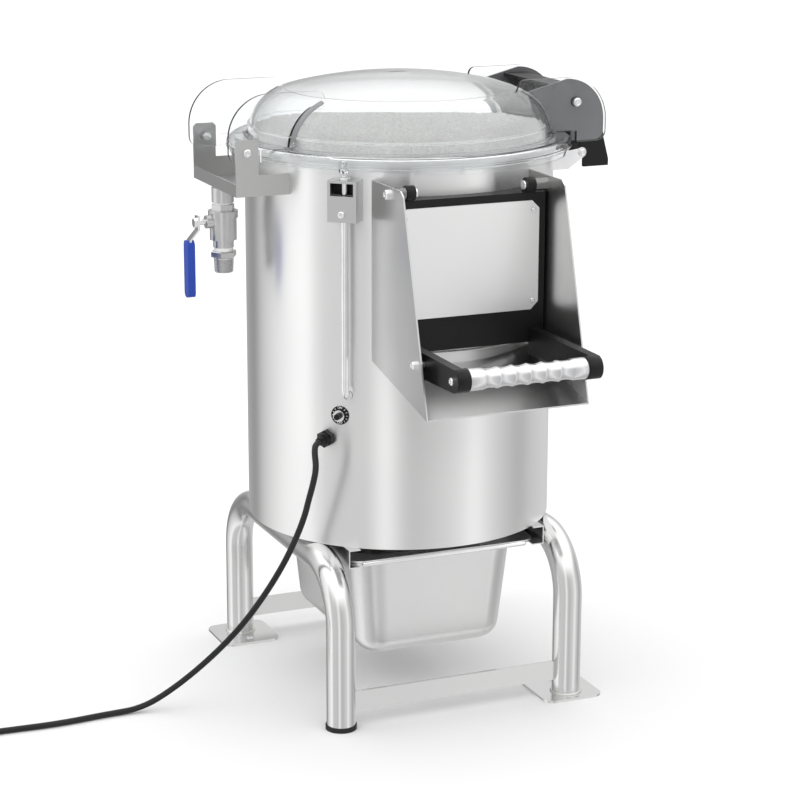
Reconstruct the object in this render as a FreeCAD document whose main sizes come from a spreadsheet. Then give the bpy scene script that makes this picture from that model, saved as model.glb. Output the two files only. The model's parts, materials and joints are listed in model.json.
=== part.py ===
import FreeCAD, Part
import math
import os
import Sketcher

os.makedirs("parts", exist_ok=True)
doc = FreeCAD.newDocument("PotatoPeeler")
Vector = FreeCAD.Vector
Rotation = FreeCAD.Rotation

# Driving dimensions in millimetres, and directions round the drum in degrees from +X
DIMENSIONS = {
    # Stand of bent tube
    "tube_radius": 19.05, "tube_wall": 1.5, "leg_across": 163, "leg_along": 196, "leg_bend": 75,
    "bar_low": 22, "bar_tall": 26, "bar_thick": 5,
    "foot_thick": 3, "foot_across": 84, "foot_along": 86, "foot_corner": 14, "foot_shift": 12,
    "foot_hole": 5.5, "foot_hole_reach": 38, "cap_tall": 6, "cap_wall": 1.4,
    # Drum, its chamber and its floor
    "drum_radius": 204, "drum_wall": 2, "drum_low": 230, "drum_top": 732, "base_thick": 2,
    "floor_low": 452, "floor_thick": 3, "liner_radius": 193, "liner_wall": 3, "liner_top": 753,
    "window_half": 84, "window_low": 490, "window_top": 686, "fit": 0.3, "running": 0.06,
    "duct_wall": 1.5, "duct_in": 72, "duct_out": 120, "duct_front": -100, "duct_back": -40,
    "duct_drop": 3,
    # Seal and clear lid
    "seal_top": 737.7, "seal_drop": 9, "seal_lip": 2.2,
    "lid_wall": 4, "lid_flange_top": 742, "lid_dome_radius": 200.5, "lid_crown_top": 822,
    "lid_crown_rise": 19, "lid_shoulder": 151, "bead_radius": 228, "bead_low": 719.5,
    "bead_round": 10, "bead_tuck": 5,
    "wing_inner": 75, "wing_thick": 5, "wing_reach": 265, "wing_top": 813, "wing_tip": 136,
    "wing_low": 727, "wing_round": 56, "wing_heel": 14, "wing_toe": 9,
    # Lid hinge on the left and lid handle on the right
    "hinge_x": -242.6, "hinge_z": 740.5, "hinge_pin": 3, "bracket_sheet": 2, "bracket_out": 257.5,
    "bracket_low": 685, "bracket_shelf": 712, "bracket_edge": 16, "tab_half": 15.5, "tab_top": 757,
    "handle_skin": 4, "handle_half": 71, "handle_low": 692, "handle_out": 275, "handle_start": 186,
    "handle_bolt_x": 220.8, "handle_bolt_z": 780.7, "handle_pin": 3,
    "ear_x": 232, "ear_z": 712.5, "ear_round": 6.8, "ear_low": 691, "ear_plate": 2.5, "ear_pin": 2.6,
    # Discharge chute and door
    "chute_half": 108, "chute_sheet": 2, "chute_top": 712, "chute_top_out": -269,
    "chute_out": -346, "chute_low": 444, "chute_back_low": 481, "chute_corner": 7,
    "door_front": -224, "door_half": 105.5, "door_low": 499, "door_top": 692, "door_skin": 5,
    "door_rim": 14, "door_gap": 1.5, "plate_half": 96, "plate_low": 542, "plate_top": 682,
    "plate_clip": 10, "plate_thick": 2,
    "door_axis_y": -225, "door_axis_z": 702, "door_pin": 4, "boss_radius": 9.5, "boss_in": 76,
    "boss_wide": 12, "sleeve_radius": 8,
    "arm_out": 96.6, "arm_wide": 12, "barrel_wide": 18, "barrel_radius": 14.5,
    "grip_y": -392, "grip_z": 504, "grip_radius": 13.5, "grip_wave": 1.8, "grip_pitch": 20,
    "catch_y": -309, "catch_z": 506, "catch_radius": 3.5,
    # Waste pan and its runners
    "pan_half": 132.5, "pan_front": -160, "pan_back": 165, "pan_top": 210.5, "pan_deep": 148,
    "pan_rim": 17, "pan_draft": 14, "pan_corner": 38, "pan_round": 26, "pan_sheet": 1.2,
    "pan_curl": 3.5, "runner_gap": 6, "runner_sheet": 1.5, "runner_ledge": 16,
    "runner_front": -168, "runner_back": 150,
    # Drive under the chamber floor
    "shaft_radius": 15, "shaft_low": 298, "disc_radius": 186, "disc_low": 466, "disc_thick": 6,
    "disc_rise": 8, "wave_wide": 26, "hub_radius": 30, "nut_radius": 15, "nut_tall": 13,
    "bearing_radius": 38, "bearing_low": 392, "bearing_flange": 56, "bearing_flange_thick": 8,
    "pulley_low": 305, "pulley_tall": 22, "pulley_radius": 60, "groove_deep": 8, "belt_tall": 10,
    "belt_slack": 0.4, "motor_y": 130, "motor_pulley_radius": 25, "motor_shaft": 8,
    "motor_radius": 54, "motor_low": 336, "motor_plate": 6, "motor_plate_half": 55,
    # Water inlet and ball valve
    "pipe_x": -246.5, "pipe_radius": 13, "socket_radius": 14.5, "socket_low": 666, "valve_hex": 13.5,
    "valve_radius": 16, "valve_collar": 19.5, "valve_top": 663, "valve_low": 607, "stem_z": 641,
    "stem_reach": 286, "stem_radius": 4.5, "nipple_low": 574, "nipple_radius": 13.2, "nipple_hex": 30,
    "bore_radius": 9.5, "lever_thick": 3, "lever_wide": 13, "lever_low": 544,
    "lever_grip_top": 619, "lever_out": 293, "lever_grip_thick": 10,
    # Lid interlock, switch and cable gland
    "lock_turn": -131, "lock_half": 19, "lock_out": 230, "lock_low": 661, "lock_top": 713,
    "lock_sheet": 2, "lock_window_half": 15, "lock_window_low": 694, "lock_pin_at": 218.5,
    "lock_pin_radius": 4, "lock_nut_radius": 7.5, "lock_tube_radius": 5,
    "lock_tube_bend": 11, "lock_tube_low": 434,
    "lock_screw": 2.5, "lock_screw_up": 10,
    "switch_turn": -134.4, "switch_z": 406.3, "legend_radius": 12.2, "legend_thick": 1,
    "bezel_radius": 7.6, "bezel_tall": 5, "button_radius": 4, "button_tall": 12,
    "gland_turn": -139.6, "gland_z": 374.4, "gland_flats": 20, "gland_hex": 9, "gland_tall": 15,
    "gland_tip": 7.5,
    # Mains cord with its coil and plug
    "cord_diameter": 8, "coil_x": -640, "coil_y": -46, "coil_radius": 50, "coil_step": 8.6,
    "plug_radius": 18.5, "plug_long": 38, "plug_sleeve": 32, "plug_z": 19, "plug_pin_radius": 2.4,
    "plug_pin_long": 19, "plug_pin_half": 9.5,
}

sheet = doc.addObject("Spreadsheet::Sheet", "Sizes")
for row, (alias, number) in enumerate(DIMENSIONS.items(), start=1):
    sheet.set(f"A{row}", str(number))
    sheet.setAlias(f"A{row}", alias)
doc.recompute()


class Size:
    """A length that carries its value and its expression in the sheet."""

    def __init__(self, value, text):
        self.value = float(value)
        self.text = text

    def __add__(self, other):
        return Size(self.value + to_size(other).value, f"({self.text} + {to_size(other).text})")

    def __sub__(self, other):
        return Size(self.value - to_size(other).value, f"({self.text} - {to_size(other).text})")

    def __mul__(self, other):
        return Size(self.value * to_size(other).value, f"({self.text} * {to_size(other).text})")

    def __truediv__(self, other):
        return Size(self.value / to_size(other).value, f"({self.text} / {to_size(other).text})")

    def __radd__(self, other):
        return to_size(other) + self

    def __rsub__(self, other):
        return to_size(other) - self

    def __rmul__(self, other):
        return to_size(other) * self

    def __neg__(self):
        return Size(-self.value, f"(0 - {self.text})")


def to_size(number):
    """Give a plain number the same form as a size from the sheet."""
    return number if isinstance(number, Size) else Size(number, f"{float(number):.6f}")


def root(size):
    """Square root of a size."""
    return Size(math.sqrt(size.value), f"sqrt({size.text})")


class Sizes:
    """Each name in the sheet as a size."""


for alias in DIMENSIONS:
    setattr(Sizes, alias, Size(sheet.get(alias), f"Sizes.{alias}"))
S = Sizes


def bind(item, field, size):
    """Tie one field of an object to the sheet."""
    item.setExpression(field, to_size(size).text)


def put(item, x, y, z, turn=None):
    """Place an object at bound coordinates."""
    item.Placement = FreeCAD.Placement(Vector(), turn or Rotation())
    for axis, size in zip("xyz", (x, y, z)):
        bind(item, f"Placement.Base.{axis}", size)
    return item


TURNS = {
    "x": Rotation(Vector(0, 1, 0), 90),
    "y": Rotation(Vector(1, 0, 0), -90),
    "z": Rotation(),
}


def block(x0, x1, y0, y1, z0, z1):
    """Box between two corners."""
    item = doc.addObject("Part::Box", "block")
    for field, low, high in (("Length", x0, x1), ("Width", y0, y1), ("Height", z0, z1)):
        bind(item, field, to_size(high) - low)
    return put(item, x0, y0, z0)


def rod(axis, x, y, z, radius, length):
    """Cylinder that starts at a point and runs along +X, +Y or +Z."""
    item = doc.addObject("Part::Cylinder", "rod")
    bind(item, "Radius", radius)
    bind(item, "Height", length)
    return put(item, x, y, z, TURNS[axis])


def cone(axis, x, y, z, radius, end_radius, length):
    """Cone that starts at a point and runs along +X, +Y or +Z."""
    item = doc.addObject("Part::Cone", "cone")
    bind(item, "Radius1", radius)
    bind(item, "Radius2", end_radius)
    bind(item, "Height", length)
    return put(item, x, y, z, TURNS[axis])


def hexagon(axis, x, y, z, across_flats, length):
    """Hexagonal prism that starts at a point and runs along an axis."""
    item = doc.addObject("Part::Prism", "hexagon")
    item.Polygon = 6
    bind(item, "Circumradius", to_size(across_flats) / math.sqrt(3))
    bind(item, "Height", length)
    return put(item, x, y, z, TURNS[axis])


def fuse(*items):
    """Join solids into one."""
    if len(items) == 1:
        return items[0]
    item = doc.addObject("Part::MultiFuse", "fuse")
    item.Shapes = list(items)
    item.Refine = True
    return item


def cut(base, *tools):
    """Take one or more solids out of another."""
    item = doc.addObject("Part::Cut", "cut")
    item.Base = base
    item.Tool = tools[0] if len(tools) == 1 else fuse(*tools)
    item.Refine = True
    return item


def common(base, tool):
    """Keep what two solids share."""
    item = doc.addObject("Part::Common", "common")
    item.Base = base
    item.Tool = tool
    return item


def group(*items):
    """Separate solids under one name."""
    item = doc.addObject("Part::Compound", "group")
    item.Links = list(items)
    return item


def ring(axis, x, y, z, inner, outer, length):
    """Tube that starts at a point and runs along an axis."""
    hole = rod(axis, x, y, z, inner, length)
    return cut(rod(axis, x, y, z, outer, length), hole)


def turned(made, degrees):
    """Turn a finished object round the drum's axis."""
    item = group(made)
    item.Placement = FreeCAD.Placement(Vector(), Rotation(Vector(0, 0, 1), to_size(degrees).value))
    return item


def shaped(shape):
    """Object with a shape of its own."""
    item = doc.addObject("Part::Feature", "shaped")
    item.Shape = shape
    return item


NODES = []


def node(label, item):
    """Name a finished sub-part."""
    item.Label = label
    NODES.append(item)
    return item


def fix_point(sketch, index, position, across, up):
    """Tie one end of a line or arc to its two coordinates."""
    for kind, size, axis in (("DistanceX", to_size(across), -2), ("DistanceY", to_size(up), -1)):
        if abs(size.value) < 1e-9:
            sketch.addConstraint(Sketcher.Constraint("PointOnObject", index, position, axis))
            continue
        ends = (-1, 1, index, position) if size.value > 0 else (index, position, -1, 1)
        distance = size if size.value > 0 else -size
        number = sketch.addConstraint(Sketcher.Constraint(kind, *ends, distance.value))
        sketch.setExpression(f"Constraints[{number}]", distance.text)


def outline(body, role, points, offset=0):
    """Closed sketch on an origin plane. A point is (across, up), or (across, up, centre, radius,
    anticlockwise) where an arc ends there."""
    sketch = body.newObject("Sketcher::SketchObject", "sketch")
    plane = next(item for item in body.Origin.OriginFeatures if item.Role == role)
    sketch.AttachmentSupport = (plane, [""])
    sketch.MapMode = "FlatFace"
    bind(sketch, "AttachmentOffset.Base.z", offset)
    spots = [Vector(to_size(point[0]).value, to_size(point[1]).value, 0) for point in points]
    for index, point in enumerate(points):
        start, end = spots[index - 1], spots[index]
        if len(point) == 2:
            sketch.addGeometry(Part.LineSegment(start, end), False)
            continue
        middle = Vector(to_size(point[2][0]).value, to_size(point[2][1]).value, 0)
        radius = to_size(point[3])
        first, last = (start, end) if point[4] else (end, start)
        angles = [math.atan2(spot.y - middle.y, spot.x - middle.x) for spot in (first, last)]
        circle = Part.Circle(middle, Vector(0, 0, 1), radius.value)
        sketch.addGeometry(Part.ArcOfCircle(circle, *angles), False)
        number = sketch.addConstraint(Sketcher.Constraint("Radius", index, radius.value))
        sketch.setExpression(f"Constraints[{number}]", radius.text)
    ends = [(1, 2) if len(point) == 2 or point[4] else (2, 1) for point in points]
    for index, point in enumerate(points):
        before = (index - 1) % len(points)
        sketch.addConstraint(
            Sketcher.Constraint("Coincident", before, ends[before][1], index, ends[index][0]))
        fix_point(sketch, index, ends[index][1], point[0], point[1])
    return sketch


def lathe(points):
    """Body turned about Z from points of radius and height."""
    body = doc.addObject("PartDesign::Body", "body")
    sketch = outline(body, "XZ_Plane", points)
    turn = body.newObject("PartDesign::Revolution", "turn")
    turn.Profile = sketch
    turn.ReferenceAxis = (sketch, ["V_Axis"])
    turn.Angle = 360
    return body


def plate(role, points, low, high):
    """Body padded from an outline between two planes: XY along Z, XZ along Y, YZ along X."""
    body = doc.addObject("PartDesign::Body", "body")
    low, high = to_size(low), to_size(high)
    sketch = outline(body, role, points, -high if role == "XZ_Plane" else low)
    pad = body.newObject("PartDesign::Pad", "pad")
    pad.Profile = sketch
    bind(pad, "Length", high - low)
    return body


def rounded(x0, x1, y0, y1, radius):
    """Outline of a rectangle with round corners."""
    x0, x1, y0, y1, r = (to_size(size) for size in (x0, x1, y0, y1, radius))
    return [
        (x1 - r, y0), (x1, y0 + r, (x1 - r, y0 + r), r, True),
        (x1, y1 - r), (x1 - r, y1, (x1 - r, y1 - r), r, True),
        (x0 + r, y1), (x0, y1 - r, (x0 + r, y1 - r), r, True),
        (x0, y0 + r), (x0 + r, y0, (x0 + r, y0 + r), r, True),
    ]


def sweep(edges, radius):
    """Round bar along joined edges."""
    path = Part.Wire(edges)
    first = edges[0]
    start = first.valueAt(first.FirstParameter)
    heading = first.tangentAt(first.FirstParameter)
    section = Part.Wire(Part.Circle(start, heading, radius).toShape())
    return Part.Wire(path).makePipeShell([section], True, False)


def arc_edge(start, middle, end):
    """Arc through three points."""
    return Part.Arc(start, middle, end).toShape()


def line_edge(start, end):
    """Straight edge between two points."""
    return Part.LineSegment(start, end).toShape()


def route_edges(points, share=0.45):
    """Straight runs joined by tangent arcs, each as large as its two runs allow."""
    edges, radii = [], []
    here = points[0]
    for before, corner, after in zip(points, points[1:], points[2:]):
        ahead = (corner - before).normalize()
        onward = (after - corner).normalize()
        half = ahead.getAngle(onward) / 2
        trim = share * min((corner - before).Length, (after - corner).Length)
        start, end = corner - ahead * trim, corner + onward * trim
        inward = (onward - ahead).normalize()
        radius = trim / math.tan(half)
        middle = corner + inward * (radius / math.cos(half) - radius)
        edges += [line_edge(here, start), arc_edge(start, middle, end)]
        radii.append(radius)
        here = end
    edges.append(line_edge(here, points[-1]))
    return edges, radii


# Stand: two bent tubes side by side, tied by flat bars, on two bolt-down plates and two caps
tube_axis = S.drum_low - S.tube_radius


def leg_shape(side):
    """Hollow tube bent down at both ends."""
    x = side * S.leg_across.value
    y, top, bend = S.leg_along.value, tube_axis.value, S.leg_bend.value
    low = S.foot_thick.value
    slant = bend * (1 - math.sqrt(0.5))
    spots = [Vector(x, *pair) for pair in (
        (-y, low), (-y, top - bend), (slant - y, top - slant), (bend - y, top),
        (y - bend, top), (y - slant, top - slant), (y, top - bend), (y, low))]
    edges = [
        line_edge(spots[0], spots[1]), arc_edge(*spots[1:4]), line_edge(spots[3], spots[4]),
        arc_edge(*spots[4:7]), line_edge(spots[6], spots[7])]
    radius = S.tube_radius.value
    return sweep(edges, radius).cut(sweep(edges, radius - S.tube_wall.value))


node("left_leg_tube", shaped(leg_shape(-1)))
node("right_leg_tube", shaped(leg_shape(1)))


def cross_bar(y):
    """Flat bar whose ends are hollowed to the tubes."""
    bar = block(-S.leg_across, S.leg_across, y - S.bar_thick / 2, y + S.bar_thick / 2,
                S.bar_low, S.bar_low + S.bar_tall)
    tubes = [rod("z", x, y, S.bar_low - 1, S.tube_radius, S.bar_tall + 2)
             for x in (-S.leg_across, S.leg_across)]
    return cut(bar, *tubes)


node("cross_bars", group(cross_bar(-S.leg_along), cross_bar(S.leg_along)))


def foot_plate(side, front):
    """Bolt-down plate that reaches inward from its leg, with one anchor hole."""
    x, y = side * S.leg_across, front * (S.leg_along - S.foot_shift)
    flat = plate("XY_Plane", rounded(
        x - S.foot_across / 2, x + S.foot_across / 2, y - S.foot_along / 2, y + S.foot_along / 2,
        S.foot_corner), 0, S.foot_thick)
    hole = rod("z", x, front * (S.leg_along - S.foot_hole_reach), -1, S.foot_hole, S.foot_thick + 2)
    return cut(flat, hole)


node("foot_plates", group(foot_plate(1, -1), foot_plate(-1, 1)))


def foot_cap(side, front):
    """Rubber cup under a tube end."""
    x, y = side * S.leg_across, front * S.leg_along
    cup = rod("z", x, y, 0, S.tube_radius + S.cap_wall, S.cap_tall)
    return cut(cup, rod("z", x, y, S.foot_thick, S.tube_radius, S.cap_tall))


node("foot_caps", group(foot_cap(-1, -1), foot_cap(1, 1)))

# Drum shell with the discharge window and the holes for switch, gland and interlock tube
drum_inner = S.drum_radius - S.drum_wall
spigot = 6


def wall_hole(turn, z, radius):
    """Radial hole through the drum wall."""
    return turned(fuse(rod("x", drum_inner - 5, 0, z, radius, 20)), turn)


window = block(-S.window_half, S.window_half, -S.drum_radius - 5, -S.liner_radius + 60,
               S.window_low, S.window_top)
shell = ring("z", 0, 0, S.drum_low, drum_inner, S.drum_radius, S.drum_top - S.drum_low)
node("drum_shell", cut(
    shell, window,
    wall_hole(S.switch_turn, S.switch_z, spigot + S.fit),
    wall_hole(S.gland_turn, S.gland_z, spigot + S.fit),
    wall_hole(S.lock_turn, S.lock_tube_low, S.lock_tube_radius + S.fit),
    wall_hole(S.lock_turn, S.lock_low + S.lock_screw_up, S.lock_screw)))

liner = ring("z", 0, 0, S.floor_low + S.floor_thick, S.liner_radius - S.liner_wall, S.liner_radius,
             S.liner_top - S.floor_low - S.floor_thick)
liner_window = block(-S.window_half, S.window_half, -S.liner_radius - 5, -S.liner_radius + 60,
                     S.window_low, S.window_top)
node("abrasive_liner", cut(liner, liner_window))

duct_low = S.drum_low - S.duct_drop
duct_sides = (S.duct_in, S.duct_out, S.duct_front, S.duct_back)
duct = block(*duct_sides, duct_low, S.floor_low)
duct_hole = block(
    S.duct_in + S.duct_wall, S.duct_out - S.duct_wall, S.duct_front + S.duct_wall,
    S.duct_back - S.duct_wall, duct_low - 1, S.floor_low + 1)
node("drain_duct", cut(duct, duct_hole))
base = rod("z", 0, 0, S.drum_low, drum_inner, S.base_thick)
node("base_plate", cut(base, block(*duct_sides, S.drum_low - 1, S.drum_low + S.base_thick + 1)))
chamber_floor = rod("z", 0, 0, S.floor_low, drum_inner, S.floor_thick)
floor_hole = block(
    S.duct_in + S.duct_wall, S.duct_out - S.duct_wall, S.duct_front + S.duct_wall,
    S.duct_back - S.duct_wall, S.floor_low - 1, S.floor_low + S.floor_thick + 1)
shaft_hole = rod("z", 0, 0, S.floor_low - 1, S.shaft_radius + 1, S.floor_thick + 2)
node("chamber_floor", cut(chamber_floor, floor_hole, shaft_hole))

# Rubber seal that caps the drum edge and reaches in to the liner
seal_out = S.drum_radius + S.seal_lip
node("lid_seal", lathe([
    (S.liner_radius + S.fit, S.seal_top), (S.liner_radius + S.fit, S.drum_top),
    (drum_inner - S.seal_lip, S.drum_top), (drum_inner - S.seal_lip, S.drum_top - S.seal_drop),
    (drum_inner, S.drum_top - S.seal_drop), (drum_inner, S.drum_top), (S.drum_radius, S.drum_top),
    (S.drum_radius, S.drum_top - S.seal_drop), (seal_out, S.drum_top - S.seal_drop),
    (seal_out, S.seal_top)]))

# Clear lid: a flat flange with a rolled bead outside and a domed crown inside
crown_radius = (S.lid_shoulder * S.lid_shoulder + S.lid_crown_rise * S.lid_crown_rise) / (
    2 * S.lid_crown_rise)
crown_centre = S.lid_crown_top - crown_radius
shoulder_z = S.lid_crown_top - S.lid_crown_rise
crown_sine = S.lid_shoulder / crown_radius
crown_cosine = (crown_radius - S.lid_crown_rise) / crown_radius
shoulder_radius = (S.lid_dome_radius - S.lid_shoulder) / (1 - crown_sine)
shoulder_x = S.lid_dome_radius - shoulder_radius
shoulder_y = shoulder_z - shoulder_radius * crown_cosine
under = S.lid_flange_top - S.lid_wall
base_rise = S.lid_flange_top - shoulder_y
base_x = shoulder_x + root(shoulder_radius * shoulder_radius - base_rise * base_rise)
inner_crown = crown_radius - S.lid_wall
inner_shoulder = shoulder_radius - S.lid_wall
inner_drop = under - shoulder_y
inner_x = shoulder_x + root(inner_shoulder * inner_shoulder - inner_drop * inner_drop)
bead_mid = S.bead_radius - S.bead_round
bead_foot = S.bead_radius - S.bead_tuck
bead_z = S.lid_flange_top - S.bead_round
small_round = S.bead_round - S.lid_wall
node("lid_dome", lathe([
    (0, S.lid_crown_top),
    (S.lid_shoulder, shoulder_z, (0, crown_centre), crown_radius, False),
    (base_x, S.lid_flange_top, (shoulder_x, shoulder_y), shoulder_radius, False),
    (bead_mid, S.lid_flange_top),
    (S.bead_radius, bead_z, (bead_mid, bead_z), S.bead_round, False),
    (bead_foot, S.bead_low), (bead_foot - S.lid_wall, S.bead_low),
    (S.bead_radius - S.lid_wall, bead_z),
    (bead_mid, under, (bead_mid, bead_z), small_round, True),
    (inner_x, under),
    (S.lid_shoulder - S.lid_wall * crown_sine, shoulder_z - S.lid_wall * crown_cosine,
     (shoulder_x, shoulder_y), inner_shoulder, True),
    (0, S.lid_crown_top - S.lid_wall, (0, crown_centre), inner_crown, True)]))

# Wings: four clear cheeks bonded to the dome, two to the hinge and two to the handle
wing_out = S.wing_inner + S.wing_thick


def wing_profile():
    """Outline of a wing on the +X side, from the dome out to its heel."""
    r, heel, toe = S.wing_round, S.wing_heel, S.wing_toe
    x, top, low = S.wing_reach, S.wing_top, S.wing_low
    dome_in, notch = S.lid_dome_radius - 80, S.bead_radius - 6
    return [
        (x - heel, low), (x, low + heel, (x - heel, low + heel), heel, True),
        (x, top - r), (x - r, top, (x - r, top - r), r, True),
        (S.wing_tip + toe, top), (S.wing_tip, top - toe, (S.wing_tip + toe, top - toe), toe, True),
        (dome_in, S.lid_crown_top - 60), (dome_in, S.lid_flange_top), (notch, S.lid_flange_top),
        (notch, low)]


def dome_solid():
    """Dome, flange and bead without their hollow, for trimming what is bonded on."""
    return lathe([
        (0, S.drum_top), (bead_foot, S.drum_top - 12), (S.bead_radius, bead_z),
        (bead_mid, S.lid_flange_top, (bead_mid, bead_z), S.bead_round, True),
        (base_x, S.lid_flange_top),
        (S.lid_shoulder, shoulder_z, (shoulder_x, shoulder_y), shoulder_radius, True),
        (0, S.lid_crown_top, (0, crown_centre), crown_radius, True)])


def mirrored(points):
    """Same outline on the -X side, still running anticlockwise."""
    flipped = []
    count = len(points)
    for index in range(count):
        point = points[-index % count]
        after = points[(-index + 1) % count]
        spot = (-to_size(point[0]), point[1])
        if len(after) > 2:
            spot += ((-to_size(after[2][0]), after[2][1]), after[3], True)
        flipped.append(spot)
    return flipped


def wing(side, front):
    """Cheek with its bolt hole, cut to the dome."""
    points = wing_profile() if side > 0 else mirrored(wing_profile())
    low, high = (-wing_out, -S.wing_inner) if front else (S.wing_inner, wing_out)
    hole_x = S.handle_bolt_x if side > 0 else S.hinge_x
    hole_z = S.handle_bolt_z if side > 0 else S.hinge_z
    hole_radius = S.handle_pin if side > 0 else S.hinge_pin + S.running
    hole = rod("y", hole_x, low - 1, hole_z, hole_radius, S.wing_thick + 2)
    return cut(plate("XZ_Plane", points, low, high), dome_solid(), hole)


node("hinge_wings", group(wing(-1, True), wing(-1, False)))
node("handle_wings", group(wing(1, True), wing(1, False)))

# Lid handle: a black skin between the right wings with a cheek at each end
skin = S.handle_skin
skin_round = S.wing_round - 6
skin_x = S.wing_reach - 4
skin_top = S.wing_top - 9
corner = 9
handle_face = [
    (S.handle_start, skin_top - skin), (skin_x - skin_round, skin_top - skin),
    (skin_x - skin, skin_top - skin_round,
     (skin_x - skin_round, skin_top - skin_round), skin_round - skin, False),
    (S.handle_out - skin, S.handle_low + corner), (S.handle_out - skin, S.handle_low),
    (S.handle_out, S.handle_low), (S.handle_out, S.handle_low + corner),
    (skin_x, skin_top - skin_round),
    (skin_x - skin_round, skin_top,
     (skin_x - skin_round, skin_top - skin_round), skin_round, True),
    (S.handle_start, skin_top)]
cheek_in = S.bead_radius + 4
cheek_face = [
    (cheek_in, S.handle_low), (S.handle_out, S.handle_low), (S.handle_out, S.handle_low + corner),
    (skin_x, skin_top - skin_round), (skin_x - 1, S.hinge_z + 8), (cheek_in, S.hinge_z + 8)]
slot_half = S.ear_pin + 2.5
handle_skin_body = plate("XZ_Plane", handle_face, -S.handle_half, S.handle_half)
cheeks = [
    plate("XZ_Plane", cheek_face, -S.handle_half, -S.handle_half + skin),
    plate("XZ_Plane", cheek_face, S.handle_half - skin, S.handle_half)]
cheek_slot = block(S.ear_x - slot_half, S.ear_x + slot_half, -S.handle_half - 1, S.handle_half + 1,
                   S.handle_low - 1, S.ear_z + slot_half)
lug = [rod("y", S.handle_bolt_x, y, S.handle_bolt_z, 7, S.wing_inner - S.handle_half + 12)
       for y in (-S.wing_inner, S.handle_half - 12)]
lug_webs = [block(S.handle_bolt_x - 5, S.handle_bolt_x + 5, low, low + 12, S.handle_bolt_z,
                  skin_top - skin + 1) for low in (-S.handle_half, S.handle_half - 12)]
lug_bore = rod("y", S.handle_bolt_x, -wing_out, S.handle_bolt_z, S.handle_pin, 2 * wing_out)
node("lid_handle", cut(
    fuse(handle_skin_body, *cheeks, *lug, *lug_webs), dome_solid(), cheek_slot, lug_bore))


def cap_screw(x, z, y_head, way, radius, length, head_radius, head_tall):
    """Domed screw along Y: way is +1 where the shank runs towards +Y from its head."""
    shank_low = y_head if way > 0 else y_head - length
    head_low = y_head - head_tall if way > 0 else y_head
    shank = rod("y", x, shank_low, z, radius, length)
    head = rod("y", x, head_low, z, head_radius, head_tall)
    return fuse(shank, head)


bolt_length = S.wing_thick + S.wing_inner - S.handle_half + 10
node("handle_bolts", group(
    cap_screw(S.handle_bolt_x, S.handle_bolt_z, -wing_out, 1, S.handle_pin, bolt_length, 6, 3),
    cap_screw(S.handle_bolt_x, S.handle_bolt_z, wing_out, -1, S.handle_pin, bolt_length, 6, 3)))

# Hinge bracket: a folded tray on the left of the drum with two tall tabs for the hinge bolts
tab_in = wing_out + 2
tab_out = tab_in + S.bracket_sheet


def drum_core():
    """Space that the drum fills, to cut what is welded to it."""
    return rod("z", 0, 0, S.drum_low, S.drum_radius, S.drum_top - S.drum_low)


bracket_face = [
    (-S.bracket_out, S.bracket_low), (-140, S.bracket_low), (-140, S.bracket_shelf),
    (S.hinge_x + S.tab_half, S.bracket_shelf), (S.hinge_x + S.tab_half, S.tab_top - 4),
    (S.hinge_x + S.tab_half - 4, S.tab_top), (S.hinge_x - S.tab_half + 4, S.tab_top),
    (S.hinge_x - S.tab_half, S.tab_top - 4), (-S.bracket_out, S.bracket_low + S.bracket_edge)]
sheet_t = S.bracket_sheet
tray = block(-S.bracket_out, -140, -tab_out, tab_out, S.bracket_low, S.bracket_low + sheet_t)
tray_edge = block(-S.bracket_out, -S.bracket_out + sheet_t, -tab_out, tab_out, S.bracket_low,
                  S.bracket_low + S.bracket_edge)
hinge_hole = rod("y", S.hinge_x, -tab_out - 1, S.hinge_z, S.hinge_pin, 2 * tab_out + 2)
node("lid_hinge_bracket", cut(
    fuse(plate("XZ_Plane", bracket_face, -tab_out, -tab_in),
         plate("XZ_Plane", bracket_face, tab_in, tab_out), tray, tray_edge),
    drum_core(), hinge_hole))

hinge_bolt_length = tab_out - S.wing_inner + 6
node("lid_hinge_bolts", group(*[
    fuse(cap_screw(S.hinge_x, S.hinge_z, way * -tab_out, way, S.hinge_pin, hinge_bolt_length, 5.5, 3),
         hexagon("y", S.hinge_x, -S.wing_inner + 1 if way > 0 else S.wing_inner - 6, S.hinge_z,
                 10, 5))
    for way in (1, -1)]))

# Catch ears on the right of the drum, whose pins drop into the slots of the handle's cheeks
ear_in = S.handle_half + 3
ear_out = ear_in + S.ear_plate
ear_face = [
    (160, S.ear_low), (S.ear_x - 20, S.ear_low),
    (S.ear_x + S.ear_round * 0.6, S.ear_z - S.ear_round * 0.8),
    (S.ear_x + S.ear_round * 0.8, S.ear_z + S.ear_round * 0.6,
     (S.ear_x, S.ear_z), S.ear_round, True),
    (S.ear_x - S.ear_round * 0.6, S.ear_z + S.ear_round * 0.8,
     (S.ear_x, S.ear_z), S.ear_round, True),
    (S.ear_x - 22, S.bead_low - 4), (160, S.bead_low - 4)]
node("lid_catch_ears", group(*[
    fuse(cut(plate("XZ_Plane", ear_face, low, low + S.ear_plate), drum_core()),
         rod("y", S.ear_x, pin, S.ear_z, S.ear_pin, ear_out - S.handle_half + skin),
         rod("y", S.ear_x, head, S.ear_z, 5, 2.5))
    for low, pin, head in (
        (-ear_out, -ear_out, -ear_out - 2.5), (ear_in, S.handle_half - skin, ear_out))]))

# Discharge chute: two flared cheeks and a sloping floor, cut to the drum
chute_outer = S.chute_half + S.chute_sheet
chute_face = [
    (-150, S.chute_top), (S.chute_top_out + S.chute_corner, S.chute_top),
    (S.chute_top_out - 1.6, S.chute_top - S.chute_corner + 1), (S.chute_out, S.chute_low),
    (-150, S.chute_back_low + 5)]


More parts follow.
